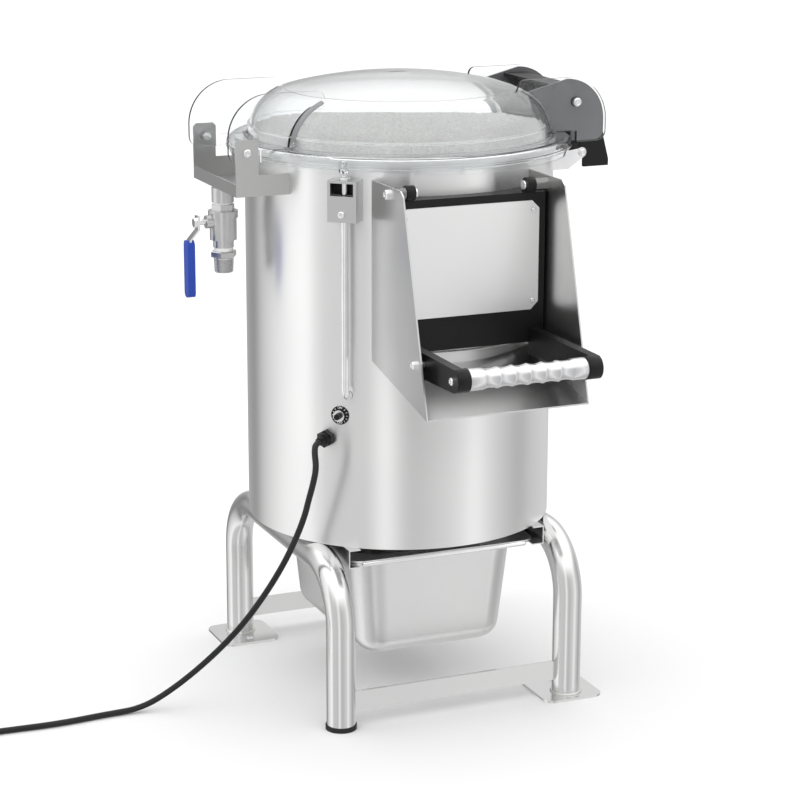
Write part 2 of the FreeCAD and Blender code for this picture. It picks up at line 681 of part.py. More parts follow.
def chute_side(low, high):
    """Flared cheek of the chute."""
    holes = [rod("x", low - 1, y, z, radius, S.chute_sheet + 2) for y, z, radius in (
        (S.door_axis_y, S.door_axis_z, S.door_pin), (S.catch_y, S.catch_z, S.catch_radius))]
    return cut(plate("YZ_Plane", chute_face, low, high), *holes)


floor_face = [
    (S.chute_out, S.chute_low), (-150, S.chute_back_low + 5),
    (-150, S.chute_back_low + 5 + S.chute_sheet), (S.chute_out, S.chute_low + S.chute_sheet)]
node("discharge_chute", cut(
    fuse(chute_side(-chute_outer, -S.chute_half), chute_side(S.chute_half, chute_outer),
         plate("YZ_Plane", floor_face, -S.chute_half, S.chute_half)), drum_core()))

# Discharge door: a black moulding hung from the top of the chute, faced with a steel plate
door_block = block(-S.door_half, S.door_half, S.door_front, -150, S.door_low, S.door_top)
door_core = rod("z", 0, 0, S.door_low - 5, S.drum_radius + S.door_gap,
                S.door_top - S.door_low + 10)
door_pocket = block(
    -S.door_half + S.door_rim, S.door_half - S.door_rim, S.door_front + S.door_skin, -150,
    S.door_low + S.door_rim, S.door_top - S.door_rim)
boss_ends = (-S.boss_in - S.boss_wide, S.boss_in)
bosses = [rod("x", x, S.door_axis_y, S.door_axis_z, S.boss_radius, S.boss_wide)
          for x in boss_ends]
boss_webs = [block(x, x + S.boss_wide, S.door_front, S.door_axis_y + S.boss_radius,
                   S.door_top - 2, S.door_axis_z)
             for x in boss_ends]
boss_bores = [rod("x", x - 1, S.door_axis_y, S.door_axis_z, S.door_pin + S.running, S.boss_wide + 2)
              for x in boss_ends]
node("door_panel", cut(
    fuse(cut(door_block, door_core, door_pocket), *bosses, *boss_webs), *boss_bores))

c = S.plate_clip
p = S.plate_half
face_plate = plate("XZ_Plane", [
    (-p + c, S.plate_low), (p - c, S.plate_low), (p, S.plate_low + c), (p, S.plate_top - c),
    (p - c, S.plate_top), (-p + c, S.plate_top), (-p, S.plate_top - c), (-p, S.plate_low + c)],
    S.door_front - S.plate_thick, S.door_front)
node("door_face_plate", face_plate)
rivet_x = S.plate_half - 8
plate_rivets = [
    rod("y", x, S.door_front - S.plate_thick - 1.2, z, 2.2, 1.2)
    for x in (-rivet_x, rivet_x) for z in (S.plate_low + 12, S.plate_top - 12)]


def door_arm(side):
    """Black arm from the door to the grip, with a barrel at its end."""
    inner = S.arm_out - S.arm_wide
    low, high = (inner, S.arm_out) if side > 0 else (-S.arm_out, -inner)
    r = S.barrel_radius
    bar = plate("YZ_Plane", [
        (S.grip_y, S.grip_z - r), (S.door_front, S.grip_z - r - 6),
        (S.door_front, S.grip_z + r), (S.grip_y, S.grip_z + r)], low, high)
    barrel_low = S.arm_out - S.barrel_wide if side > 0 else -S.arm_out
    barrel = rod("x", barrel_low, S.grip_y, S.grip_z, r, S.barrel_wide)
    dimple_low = S.arm_out - 1.5 if side > 0 else -S.arm_out - 1
    dimple = rod("x", dimple_low, S.catch_y, S.catch_z, S.catch_radius + 1, 2.5)
    screw_bore = rod("x", -S.arm_out - 1, S.grip_y, S.grip_z, 3, 2 * S.arm_out + 2)
    return cut(fuse(bar, barrel), dimple, screw_bore)


node("door_arms", group(door_arm(-1), door_arm(1)))

# Aluminium grip, turned with a wave under each finger
grip_end = S.arm_out - S.barrel_wide
crest, waist = S.grip_radius, S.grip_radius - S.grip_wave
wave_count = 6


def grip_shape():
    """Grip turned about X: plain ends and a scalloped middle."""
    end = grip_end.value
    pitch = S.grip_pitch.value
    start = -wave_count * pitch / 2
    top, low = crest.value, waist.value
    edges = [line_edge(Vector(-end, 0, 0), Vector(-end, top, 0)),
             line_edge(Vector(-end, top, 0), Vector(start, top, 0))]
    for step in range(wave_count):
        x = start + step * pitch
        edges.append(arc_edge(Vector(x, top, 0), Vector(x + pitch / 2, low, 0),
                              Vector(x + pitch, top, 0)))
    edges += [line_edge(Vector(-start, top, 0), Vector(end, top, 0)),
              line_edge(Vector(end, top, 0), Vector(end, 0, 0)),
              line_edge(Vector(end, 0, 0), Vector(-end, 0, 0))]
    face = Part.Face(Part.Wire(edges))
    bar = face.revolve(Vector(), Vector(1, 0, 0), 360)
    bore = Part.makeCylinder(3, 2 * end + 2, Vector(-end - 1, 0, 0), Vector(1, 0, 0))
    return bar.cut(bore)


grip = shaped(grip_shape())
put(grip, 0, S.grip_y, S.grip_z)
node("door_grip", grip)
node("door_screws", group(*plate_rivets, *[
    fuse(rod("x", low, S.grip_y, S.grip_z, 3, 30), rod("x", head, S.grip_y, S.grip_z, 5, 2.5))
    for low, head in ((-S.arm_out, -S.arm_out - 2.5), (S.arm_out - 30, S.arm_out))]))

# Hinge bolts of the door with their sleeves, and the two catch pins that meet the arms
sleeve_in = S.boss_in + S.boss_wide + S.fit
node("door_hinge_bolts", group(*[
    fuse(rod("x", low, S.door_axis_y, S.door_axis_z, S.door_pin, chute_outer - S.boss_in + 3),
         rod("x", head, S.door_axis_y, S.door_axis_z, 6.5, 3),
         rod("x", tip, S.door_axis_y, S.door_axis_z, 6, 3))
    for low, head, tip in (
        (-chute_outer, -chute_outer - 3, -S.boss_in + S.fit),
        (S.boss_in - 3, chute_outer, S.boss_in - S.fit - 3))]))
node("door_hinge_sleeves", group(*[
    ring("x", low, S.door_axis_y, S.door_axis_z, S.door_pin, S.sleeve_radius,
         S.chute_half - sleeve_in)
    for low in (-S.chute_half, sleeve_in)]))
catch_gap = S.arm_out + S.fit
node("door_catch_pins", group(*[
    fuse(rod("x", low, S.catch_y, S.catch_z, S.catch_radius, chute_outer - catch_gap),
         rod("x", head, S.catch_y, S.catch_z, 5.5, 3))
    for low, head in ((-chute_outer, -chute_outer - 3), (catch_gap, chute_outer))]))

# Waste pan hung by its rim between two runners
def round_rectangle(half_x, y0, y1, radius, z):
    """Wire of a rounded rectangle at one height."""
    r = radius
    k = r * (1 - math.sqrt(0.5))
    x0, x1 = -half_x, half_x
    edges = [
        line_edge(Vector(x0 + r, y0, z), Vector(x1 - r, y0, z)),
        arc_edge(Vector(x1 - r, y0, z), Vector(x1 - k, y0 + k, z), Vector(x1, y0 + r, z)),
        line_edge(Vector(x1, y0 + r, z), Vector(x1, y1 - r, z)),
        arc_edge(Vector(x1, y1 - r, z), Vector(x1 - k, y1 - k, z), Vector(x1 - r, y1, z)),
        line_edge(Vector(x1 - r, y1, z), Vector(x0 + r, y1, z)),
        arc_edge(Vector(x0 + r, y1, z), Vector(x0 + k, y1 - k, z), Vector(x0, y1 - r, z)),
        line_edge(Vector(x0, y1 - r, z), Vector(x0, y0 + r, z)),
        arc_edge(Vector(x0, y0 + r, z), Vector(x0 + k, y0 + k, z), Vector(x0 + r, y0, z))]
    return Part.Wire(edges)


def pan_body(inset):
    """Tapered tub with rounded bottom edges, drawn in by an inset."""
    rim, draft = S.pan_rim.value, S.pan_draft.value
    top, low = S.pan_top.value, S.pan_top.value - S.pan_deep.value + inset
    half = S.pan_half.value - rim - inset
    front, back = S.pan_front.value + rim + inset, S.pan_back.value - rim - inset
    corner_radius = S.pan_corner.value - inset
    upper = round_rectangle(half, front, back, corner_radius, top)
    lower = round_rectangle(half - draft, front + draft, back - draft, corner_radius - 4, low)
    tub = Part.makeLoft([lower, upper], True, True)
    floor_edges = [edge for edge in tub.Edges
                   if all(abs(vertex.Z - low) < 1e-6 for vertex in edge.Vertexes)]
    return tub.makeFillet(S.pan_round.value - inset, floor_edges)


def pan_shape():
    """Pan of thin sheet with a flat rim and a short curl under its edge."""
    sheet_thick, top = S.pan_sheet.value, S.pan_top.value
    half, front, back = S.pan_half.value, S.pan_front.value, S.pan_back.value
    outer = Part.Face(round_rectangle(half, front, back, 20, top - sheet_thick))
    rim = outer.extrude(Vector(0, 0, sheet_thick))
    curl_outer = Part.Face(round_rectangle(half, front, back, 20, top - S.pan_curl.value))
    curl_inner = Part.Face(round_rectangle(
        half - sheet_thick, front + sheet_thick, back - sheet_thick, 20 - sheet_thick,
        top - S.pan_curl.value))
    curl = curl_outer.cut(curl_inner).extrude(Vector(0, 0, S.pan_curl.value - sheet_thick))
    tub = pan_body(0).fuse([rim, curl])
    return tub.cut(pan_body(sheet_thick)).removeSplitter()


node("waste_pan", shaped(pan_shape()))

runner_out = S.pan_half + S.runner_gap + S.runner_sheet
ledge_top = S.pan_top - S.pan_curl - S.fit
t = S.runner_sheet
runner_face = [
    (runner_out, ledge_top - t), (runner_out, S.drum_low),
    (runner_out - S.runner_ledge, S.drum_low), (runner_out - S.runner_ledge, S.drum_low - t),
    (runner_out - t, S.drum_low - t), (runner_out - t, ledge_top),
    (runner_out - S.runner_ledge, ledge_top), (runner_out - S.runner_ledge, ledge_top - t)]
node("pan_runners", group(*[
    plate("XZ_Plane", face, S.runner_front, S.runner_back)
    for face in (runner_face, mirrored(runner_face))]))

# Drive: abrasive disc on a shaft, belt driven from a motor hung under the chamber floor
pulley_mid = S.pulley_low + S.pulley_tall / 2


def pulley(y, radius, bore):
    """Grooved pulley on a vertical axis."""
    rim = rod("z", 0, y, S.pulley_low, radius, S.pulley_tall)
    groove_tall = S.belt_tall + 2 * S.belt_slack
    groove = ring("z", 0, y, pulley_mid - groove_tall / 2, radius - S.groove_deep, radius + 5,
                  groove_tall)
    return cut(rim, groove, rod("z", 0, y, S.pulley_low - 1, bore, S.pulley_tall + 2))


node("disc_shaft", fuse(
    rod("z", 0, 0, S.shaft_low, S.shaft_radius, S.disc_low - S.shaft_low),
    rod("z", 0, 0, S.disc_low - 10, S.hub_radius, 10),
    rod("z", 0, 0, S.disc_low, 8, S.disc_thick + S.disc_rise)))
node("disc_pulley", pulley(0, S.pulley_radius, S.shaft_radius))
disc_body = lathe([
    (8, S.disc_low), (S.disc_radius, S.disc_low), (S.disc_radius, S.disc_low + S.disc_thick),
    (60, S.disc_low + S.disc_thick + 2), (30, S.disc_low + S.disc_thick + S.disc_rise - 1),
    (8, S.disc_low + S.disc_thick + S.disc_rise)])


def disc_wave(angle):
    """Raised wave across the disc that tumbles the load."""
    lump = rod("x", 36, 0, S.disc_low - 2, S.wave_wide / 2 + 3, S.disc_radius - 42)
    return turned(fuse(lump), angle)


wave_space = rod("z", 0, 0, S.disc_low + 1, S.disc_radius, 30)
node("abrasive_disc", fuse(disc_body, common(fuse(*[disc_wave(a) for a in (0, 120, 240)]),
                                             wave_space)))
disc_top = S.disc_low + S.disc_thick + S.disc_rise
node("disc_nut", fuse(rod("z", 0, 0, disc_top, S.nut_radius, S.nut_tall - 5),
                      cone("z", 0, 0, disc_top + S.nut_tall - 5, S.nut_radius, 8, 5)))
node("bearing_housing", cut(
    fuse(rod("z", 0, 0, S.bearing_low, S.bearing_radius, S.floor_low - S.bearing_low),
         rod("z", 0, 0, S.floor_low - S.bearing_flange_thick, S.bearing_flange,
             S.bearing_flange_thick)),
    rod("z", 0, 0, S.bearing_low - 1, S.shaft_radius + S.running, S.floor_low - S.bearing_low + 2)))
node("motor_pulley", fuse(
    pulley(S.motor_y, S.motor_pulley_radius, S.motor_shaft - 0.5),
    rod("z", 0, S.motor_y, S.pulley_low - 4, S.motor_shaft, S.motor_low + 12 - S.pulley_low + 4)))
motor_top = S.floor_low - S.motor_plate
node("motor", cut(
    fuse(rod("z", 0, S.motor_y, S.motor_low, S.motor_radius - 8, motor_top - S.motor_low),
         rod("z", 0, S.motor_y, S.motor_low + 8, S.motor_radius, motor_top - S.motor_low - 16),
         block(-22, 22, S.motor_y - S.motor_radius - 14, S.motor_y, S.motor_low + 30,
               motor_top - 25)),
    rod("z", 0, S.motor_y, S.motor_low - 1, S.motor_shaft + S.running, 14)))
node("motor_mount", block(-S.motor_plate_half, S.motor_plate_half, S.motor_y - S.motor_plate_half,
                          S.motor_y + S.motor_plate_half - 5, motor_top, S.floor_low))


def belt_outline(extra):
    """Flat face round both pulleys, at a distance from their grooves."""
    big = S.pulley_radius.value - S.groove_deep.value + extra
    small = S.motor_pulley_radius.value - S.groove_deep.value + extra
    y = S.motor_y.value
    z = pulley_mid.value - S.belt_tall.value / 2
    lean = math.asin((big - small) / y)
    spots = [Vector(side * r * math.cos(lean), centre + r * math.sin(lean), z)
             for side, r, centre in ((1, big, 0), (1, small, y), (-1, small, y), (-1, big, 0))]
    edges = [
        line_edge(spots[0], spots[1]), arc_edge(spots[1], Vector(0, y + small, z), spots[2]),
        line_edge(spots[2], spots[3]), arc_edge(spots[3], Vector(0, -big, z), spots[0])]
    return Part.Face(Part.Wire(edges))


belt_face = belt_outline(S.fit.value + S.groove_deep.value).cut(belt_outline(S.fit.value))
node("drive_belt", shaped(belt_face.extrude(Vector(0, 0, S.belt_tall.value))))

# Water inlet: a ball valve that hangs under the hinge tray, with a union into the drum
px = S.pipe_x
union_top = S.bracket_low
node("inlet_socket", cut(
    rod("z", px, 0, S.socket_low, S.socket_radius, union_top - S.socket_low),
    rod("z", px, 0, S.socket_low - 1, S.bore_radius, union_top - S.socket_low - 1)))
valve_body = fuse(
    hexagon("z", px, 0, S.valve_top - 8, 2 * S.valve_hex, 8),
    rod("z", px, 0, S.valve_top - 17, S.valve_collar, 9),
    rod("z", px, 0, S.valve_low + 10, S.valve_radius + 1.5, S.valve_top - S.valve_low - 27),
    rod("z", px, 0, S.valve_low, S.valve_hex, 12),
    rod("x", px - S.valve_radius - 8, 0, S.stem_z, S.stem_radius + 4, 12))
node("valve_body", cut(
    valve_body, rod("z", px, 0, S.valve_low - 1, S.bore_radius, S.valve_top - S.valve_low + 2)))
node("thread_seals", group(
    ring("z", px, 0, S.valve_top, S.bore_radius, S.pipe_radius - 0.5, S.socket_low - S.valve_top),
    ring("z", px, 0, S.valve_low - 5, S.bore_radius, S.pipe_radius - 0.5, 5)))
nipple_hex_low = S.valve_low - 5 - 8
node("outlet_nipple", cut(
    fuse(hexagon("z", px, 0, nipple_hex_low, S.nipple_hex, 8),
         rod("z", px, 0, S.nipple_low, S.nipple_radius, nipple_hex_low - S.nipple_low)),
    rod("z", px, 0, S.nipple_low - 1, S.bore_radius, 40)))

# Valve lever: stem, cranked steel lever and dipped grip, turning about X
stem_start = px - S.valve_radius - 8 - S.fit
lever_x = -S.stem_reach + 6
node("valve_stem", fuse(
    rod("x", -S.stem_reach, 0, S.stem_z, S.stem_radius - 1, stem_start + S.stem_reach),
    hexagon("x", -S.stem_reach - 1, 0, S.stem_z, 11, 4)))
lever_face = [
    (lever_x, S.stem_z + 9), (lever_x - S.lever_thick, S.stem_z + 9),
    (lever_x - S.lever_thick, S.stem_z - 9), (-S.lever_out - S.lever_thick / 2, S.lever_grip_top),
    (-S.lever_out - S.lever_thick / 2, S.lever_low + 6),
    (-S.lever_out + S.lever_thick / 2, S.lever_low + 6),
    (-S.lever_out + S.lever_thick / 2, S.lever_grip_top), (lever_x, S.stem_z - 9)]
lever_body = plate("XZ_Plane", lever_face, -S.lever_wide / 2, S.lever_wide / 2)
node("valve_lever", cut(
    lever_body, rod("x", lever_x - 10, 0, S.stem_z, S.stem_radius - 1, 20)))
grip_body = plate("YZ_Plane", rounded(
    -S.lever_wide / 2 - 2, S.lever_wide / 2 + 2, S.lever_low, S.lever_grip_top, 7),
    -S.lever_out - S.lever_grip_thick / 2, -S.lever_out + S.lever_grip_thick / 2)
grip_core = block(-S.lever_out - S.lever_thick / 2, -S.lever_out + S.lever_thick / 2,
                  -S.lever_wide / 2, S.lever_wide / 2, S.lever_low + 6, S.lever_grip_top + 1)
node("lever_grip", cut(grip_body, grip_core))

# Lid interlock: folded cover, sprung pin under the lid's bead, and the guard tube below it
h = S.lock_half
w = S.lock_sheet
lock_back = root(S.drum_radius * S.drum_radius - h * h) + 0.05
lock_cover = cut(
    block(lock_back, S.lock_out, -h, h, S.lock_low, S.lock_top),
    block(lock_back - 1, S.lock_out - w, -h + w, h - w, S.lock_low - 1, S.lock_top - w),
    block(S.lock_out - w - 1, S.lock_out + 1, -S.lock_window_half, S.lock_window_half,
          S.lock_window_low, S.lock_top - w - 1),
    rod("z", S.lock_pin_at, 0, S.lock_low, S.lock_pin_radius + S.fit, 70),
    rod("x", S.lock_out - 5, 0, S.lock_low + S.lock_screw_up, S.lock_screw, 10),
    drum_core())
node("interlock_cover", turned(lock_cover, S.lock_turn))
pin_foot = S.lock_low + 12
pin_top = S.bead_low - S.fit
node("interlock_pin", turned(fuse(
    rod("z", S.lock_pin_at, 0, pin_foot + 8, S.lock_pin_radius, pin_top - pin_foot - 8),
    rod("z", S.lock_pin_at, 0, S.lock_window_low - 6, S.lock_nut_radius - 1.5, 4)), S.lock_turn))
node("interlock_screw", turned(fuse(
    rod("x", drum_inner, 0, S.lock_low + S.lock_screw_up, S.lock_screw, S.lock_out - drum_inner),
    rod("x", S.lock_out, 0, S.lock_low + S.lock_screw_up, S.lock_screw + 2, 2.2)), S.lock_turn))


def lock_tube_shape():
    """Guard tube that drops down the drum and bends in through its wall."""
    bend, low, at = S.lock_tube_bend.value, S.lock_tube_low.value, S.lock_pin_at.value
    top = S.lock_low.value + 3
    slant = bend * (1 - math.sqrt(0.5))
    spots = [Vector(at, 0, top), Vector(at, 0, low + bend), Vector(at - slant, 0, low + slant),
             Vector(at - bend, 0, low), Vector(drum_inner.value - 3, 0, low)]
    edges = [line_edge(spots[0], spots[1]), arc_edge(*spots[1:4]), line_edge(spots[3], spots[4])]
    return sweep(edges, S.lock_tube_radius.value)


node("interlock_tube", turned(shaped(lock_tube_shape()), S.lock_turn))

# Switch on the drum wall: legend ring, chrome bezel with its spigot, and the sprung button
dr = S.drum_radius
node("switch_legend_ring", turned(
    ring("x", dr, 0, S.switch_z, spigot, S.legend_radius, S.legend_thick), S.switch_turn))
node("switch_bezel", turned(cut(
    fuse(rod("x", dr + S.legend_thick, 0, S.switch_z, S.bezel_radius, S.bezel_tall),
         rod("x", drum_inner - 12, 0, S.switch_z, spigot, 12 + S.drum_wall + S.legend_thick)),
    rod("x", drum_inner - 8, 0, S.switch_z, S.button_radius + S.fit, 40)), S.switch_turn))
node("switch_button", turned(
    rod("x", drum_inner - 2, 0, S.switch_z, S.button_radius, S.button_tall + S.drum_wall + 2),
    S.switch_turn))

# Cable gland with its hexagon, domed nut and spigot
gland_end = dr + S.gland_tall
node("cable_gland", turned(fuse(
    hexagon("x", dr, 0, S.gland_z, S.gland_flats, S.gland_hex),
    cone("x", dr + S.gland_hex, 0, S.gland_z, S.gland_flats / 2 - 0.5, S.gland_tip,
         S.gland_tall - S.gland_hex),
    rod("x", drum_inner - 10, 0, S.gland_z, spigot, 10 + S.drum_wall)), S.gland_turn))

# Mains cord: it droops from the gland to the floor and runs left to its put-away coil
cord_radius = S.cord_diameter.value / 2
gland_angle = math.radians(S.gland_turn.value)


def from_gland(reach, z):
    """Point straight out from the gland, at a distance from the drum's axis."""
    return Vector(reach * math.cos(gland_angle), reach * math.sin(gland_angle), z)


coil_start = Vector(S.coil_x.value + S.cord_diameter.value, S.coil_y.value, cord_radius)
CORD_POINTS = [
    from_gland(gland_end.value, S.gland_z.value), from_gland(236, S.gland_z.value),
    Vector(-188, -171, 368), Vector(-191, -185, 352), Vector(-197, -188, 331),
    Vector(-199, -178, 309), Vector(-200, -166, 284), Vector(-207, -152, 250),
    Vector(-219, -135, 210), Vector(-237, -115, 166), Vector(-263, -91, 116),
    Vector(-300, -67, 68), Vector(-342, -48, 28), Vector(-386, -44, 4.8),
    Vector(-436, -44, 4), Vector(-500, -51, 4), Vector(-562, -47.5, 4), Vector(-600, -46.2, 4), coil_start]


def cord_tube(points):
    """Cord along a route of straight runs and tangent arcs, with its volume compared."""
    edges, radii = route_edges(points)
    tube = sweep(edges, cord_radius)
    length = sum(edge.Length for edge in edges)
    expected = math.pi * cord_radius ** 2 * length
    print("cord radii", [round(radius, 1) for radius in radii])
    print("cord length", round(length, 1), "volume share", round(tube.Volume / expected, 4))
    return tube


node("mains_cord", shaped(cord_tube(CORD_POINTS)))


def coil_path():
    """Half turns that spiral in, climb one layer and spiral out again."""
    step = S.coil_step.value
    radius = S.coil_radius.value
    x, y, z = S.coil_x.value, S.coil_y.value, cord_radius
    radii = [radius - step / 2 * turn for turn in (0, 1, 2, 3, 2, 1)]
    edges = [line_edge(coil_start, Vector(x, y, z))]
    up = 1
    for turn, r in enumerate(radii):
        rise = step if turn == 3 else 0
        end_y = y + up * math.sqrt(4 * r * r - rise * rise)
        middle = Vector(x - up * r, (y + end_y) / 2, z + rise / 2)
        edges.append(arc_edge(Vector(x, y, z), middle, Vector(x, end_y, z + rise)))
        y, z, up = end_y, z + rise, -up
    slant = radius * math.sqrt(0.5)
    edges.append(arc_edge(
        Vector(x, y, z), Vector(x - slant, y + radius - slant, z), Vector(x - radius, y + radius, z)))
    last = Vector(x - radius, y + radius, z)
    edges.append(line_edge(last, last + Vector(0, S.cord_diameter.value, 0)))
    return edges


def self_gap(edges):
    """Least clear space between stretches of the coil that aren't neighbours."""
    spots, run = [], 0
    for edge in edges:
        count = max(2, int(edge.Length / 3))
        for index in range(count):
            share = index / count
            place = edge.FirstParameter + share * (edge.LastParameter - edge.FirstParameter)
            spots.append((run + share * edge.Length, edge.valueAt(place)))
        run += edge.Length
    far = 60
    return min((a - b).Length for i, (s, a) in enumerate(spots)
               for r, b in spots[i + 1:] if r - s > far) - 2 * cord_radius


coil_edges = coil_path()
print("coil length", round(sum(edge.Length for edge in coil_edges), 1),
      "least self gap", round(self_gap(coil_edges), 2))
node("cord_coil", shaped(sweep(coil_edges, cord_radius)))
coil_end = coil_edges[-1].valueAt(coil_edges[-1].LastParameter)
lead_end = Vector(coil_end.x, coil_end.y + 47, S.plug_z.value)
node("plug_lead", shaped(cord_tube([
    coil_end, coil_end + Vector(0, 15, 0.8), Vector(coil_end.x, coil_end.y + 31, S.plug_z.value - 0.8),
    lead_end])))

# Plug lying beside the coil: tapered sleeve, round body and two pins
plug_y = lead_end.y
node("mains_plug", fuse(
    cone("y", lead_end.x, plug_y, S.plug_z, S.cord_diameter / 2 + 1, S.cord_diameter / 2 + 4,
         S.plug_sleeve),
    cone("y", lead_end.x, plug_y + S.plug_sleeve, S.plug_z, S.plug_radius - 6, S.plug_radius, 8),
    rod("y", lead_end.x, plug_y + S.plug_sleeve + 8, S.plug_z, S.plug_radius, S.plug_long - 8)))
node("plug_pins", group(*[
    rod("y", lead_end.x, plug_y + S.plug_sleeve + S.plug_long, S.plug_z + side * S.plug_pin_half,
        S.plug_pin_radius, S.plug_pin_long) for side in (-1, 1)]))

doc.recompute()
failed = [item.Label for item in doc.Objects if {"Invalid", "Error"} & set(item.State)]
if failed:
    raise SystemExit(f"objects that failed: {failed}")
for item in NODES:
    if item.Shape.isNull() or not item.Shape.isValid() or not item.Shape.Solids:
        raise SystemExit(f"{item.Label} has no valid solid")
for item in NODES:
    item.Shape.exportStep(f"parts/{item.Label}.step")
print(len(NODES), "sub-parts")
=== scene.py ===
import json
import math
import bmesh
import bpy
from mathutils import Matrix, Vector


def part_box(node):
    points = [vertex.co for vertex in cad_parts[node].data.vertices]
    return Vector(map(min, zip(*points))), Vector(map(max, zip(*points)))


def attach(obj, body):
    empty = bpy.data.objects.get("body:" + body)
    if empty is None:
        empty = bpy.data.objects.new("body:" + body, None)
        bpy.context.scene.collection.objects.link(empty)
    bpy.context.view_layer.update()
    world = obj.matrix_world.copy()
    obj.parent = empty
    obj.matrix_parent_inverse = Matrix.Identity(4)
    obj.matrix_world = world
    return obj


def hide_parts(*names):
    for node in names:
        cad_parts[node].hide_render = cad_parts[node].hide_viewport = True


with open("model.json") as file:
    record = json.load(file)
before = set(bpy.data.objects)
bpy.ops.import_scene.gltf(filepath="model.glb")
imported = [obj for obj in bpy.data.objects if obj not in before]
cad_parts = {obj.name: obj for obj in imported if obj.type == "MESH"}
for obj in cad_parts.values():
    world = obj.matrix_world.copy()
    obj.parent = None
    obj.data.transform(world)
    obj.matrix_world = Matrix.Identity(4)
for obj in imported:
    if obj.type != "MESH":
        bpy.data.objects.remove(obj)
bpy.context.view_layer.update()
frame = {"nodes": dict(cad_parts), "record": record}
nodes = frame["nodes"]
MM = 0.001

# Camera at the photograph's place and angle
CAMERA_AT = Vector((-1.2406, -2.9066, 1.2068))
CAMERA_AHEAD = Vector((0.371, 0.8931, -0.2544))
SENSOR = 36
LENS = 108.26
SHIFT = (0.0305, 0.001)


def add_camera():
    """Camera with the photograph's lens."""
    data = bpy.data.cameras.new("camera")
    data.sensor_fit = "HORIZONTAL"
    data.sensor_width = SENSOR
    data.lens = LENS
    data.shift_x, data.shift_y = SHIFT
    camera = bpy.data.objects.new("camera", data)
    camera.location = CAMERA_AT
    camera.rotation_euler = CAMERA_AHEAD.to_track_quat("-Z", "Y").to_euler()
    bpy.context.scene.collection.objects.link(camera)
    bpy.context.scene.camera = camera


add_camera()

# Light: panels of a studio round the horizon, as (degrees from the camera's side, brightness)
STUDIO = (
    (-180, 0.45), (-137, 0.15), (-128, 0.42), (-92, 0.75), (-69, 0.88), (-35, 0.50), (-23, 0.42),
    (-10, 0.85), (0, 0.50), (8, 0.40), (30, 0.49), (51, 0.60), (58, 0.82), (72, 0.57), (106, 0.30),
    (117, 0.44), (146, 0.50))
CAMERA_SIDE = -112.6
STUDIO_POWER = 1.45
OVERHEAD = 1.55
PANELS_END, OVERHEAD_STARTS = 0.25, 0.75


def add_world():
    """Surroundings whose brightness goes round the horizon, with a soft panel overhead."""
    world = bpy.data.worlds.new("studio")
    bpy.context.scene.world = world
    world.use_nodes = True
    tree = world.node_tree
    make, join = tree.nodes.new, tree.links.new
    background = tree.nodes["Background"]
    where = make("ShaderNodeTexCoord")
    split = make("ShaderNodeSeparateXYZ")
    join(where.outputs["Generated"], split.inputs[0])
    angle = make("ShaderNodeMath")
    angle.operation = "ARCTAN2"
    join(split.outputs["Y"], angle.inputs[0])
    join(split.outputs["X"], angle.inputs[1])
    share = make("ShaderNodeMapRange")
    share.inputs["From Min"].default_value = -math.pi
    share.inputs["From Max"].default_value = math.pi
    join(angle.outputs[0], share.inputs["Value"])
    ramp = make("ShaderNodeValToRGB")
    stops = sorted((((turn + CAMERA_SIDE + 180) % 360) / 360, level) for turn, level in STUDIO)
    elements = ramp.color_ramp.elements
    for index, (place, level) in enumerate(stops):
        element = elements[index] if index < 2 else elements.new(place)
        element.position = place
        element.color = (level, level, level, 1)
    join(share.outputs["Result"], ramp.inputs["Fac"])
    height = make("ShaderNodeMapRange")
    height.interpolation_type = "SMOOTHSTEP"
    height.inputs["From Min"].default_value = PANELS_END
    height.inputs["From Max"].default_value = OVERHEAD_STARTS
    join(split.outputs["Z"], height.inputs["Value"])
    mix = make("ShaderNodeMix")
    mix.data_type = "RGBA"
    join(height.outputs["Result"], mix.inputs["Factor"])
    join(ramp.outputs["Color"], mix.inputs["A"])
    mix.inputs["B"].default_value = (OVERHEAD / STUDIO_POWER,) * 3 + (1,)
    join(mix.outputs["Result"], background.inputs["Color"])
    background.inputs["Strength"].default_value = STUDIO_POWER


add_world()
bpy.context.scene.view_settings.view_transform = "Standard"

# Materials: a small kit of procedural finishes, with bump heights in metres
NOISE_LOW, NOISE_HIGH = 0.3, 0.7
FINE_BUMP, COARSE_BUMP = 0.0002, 0.0003


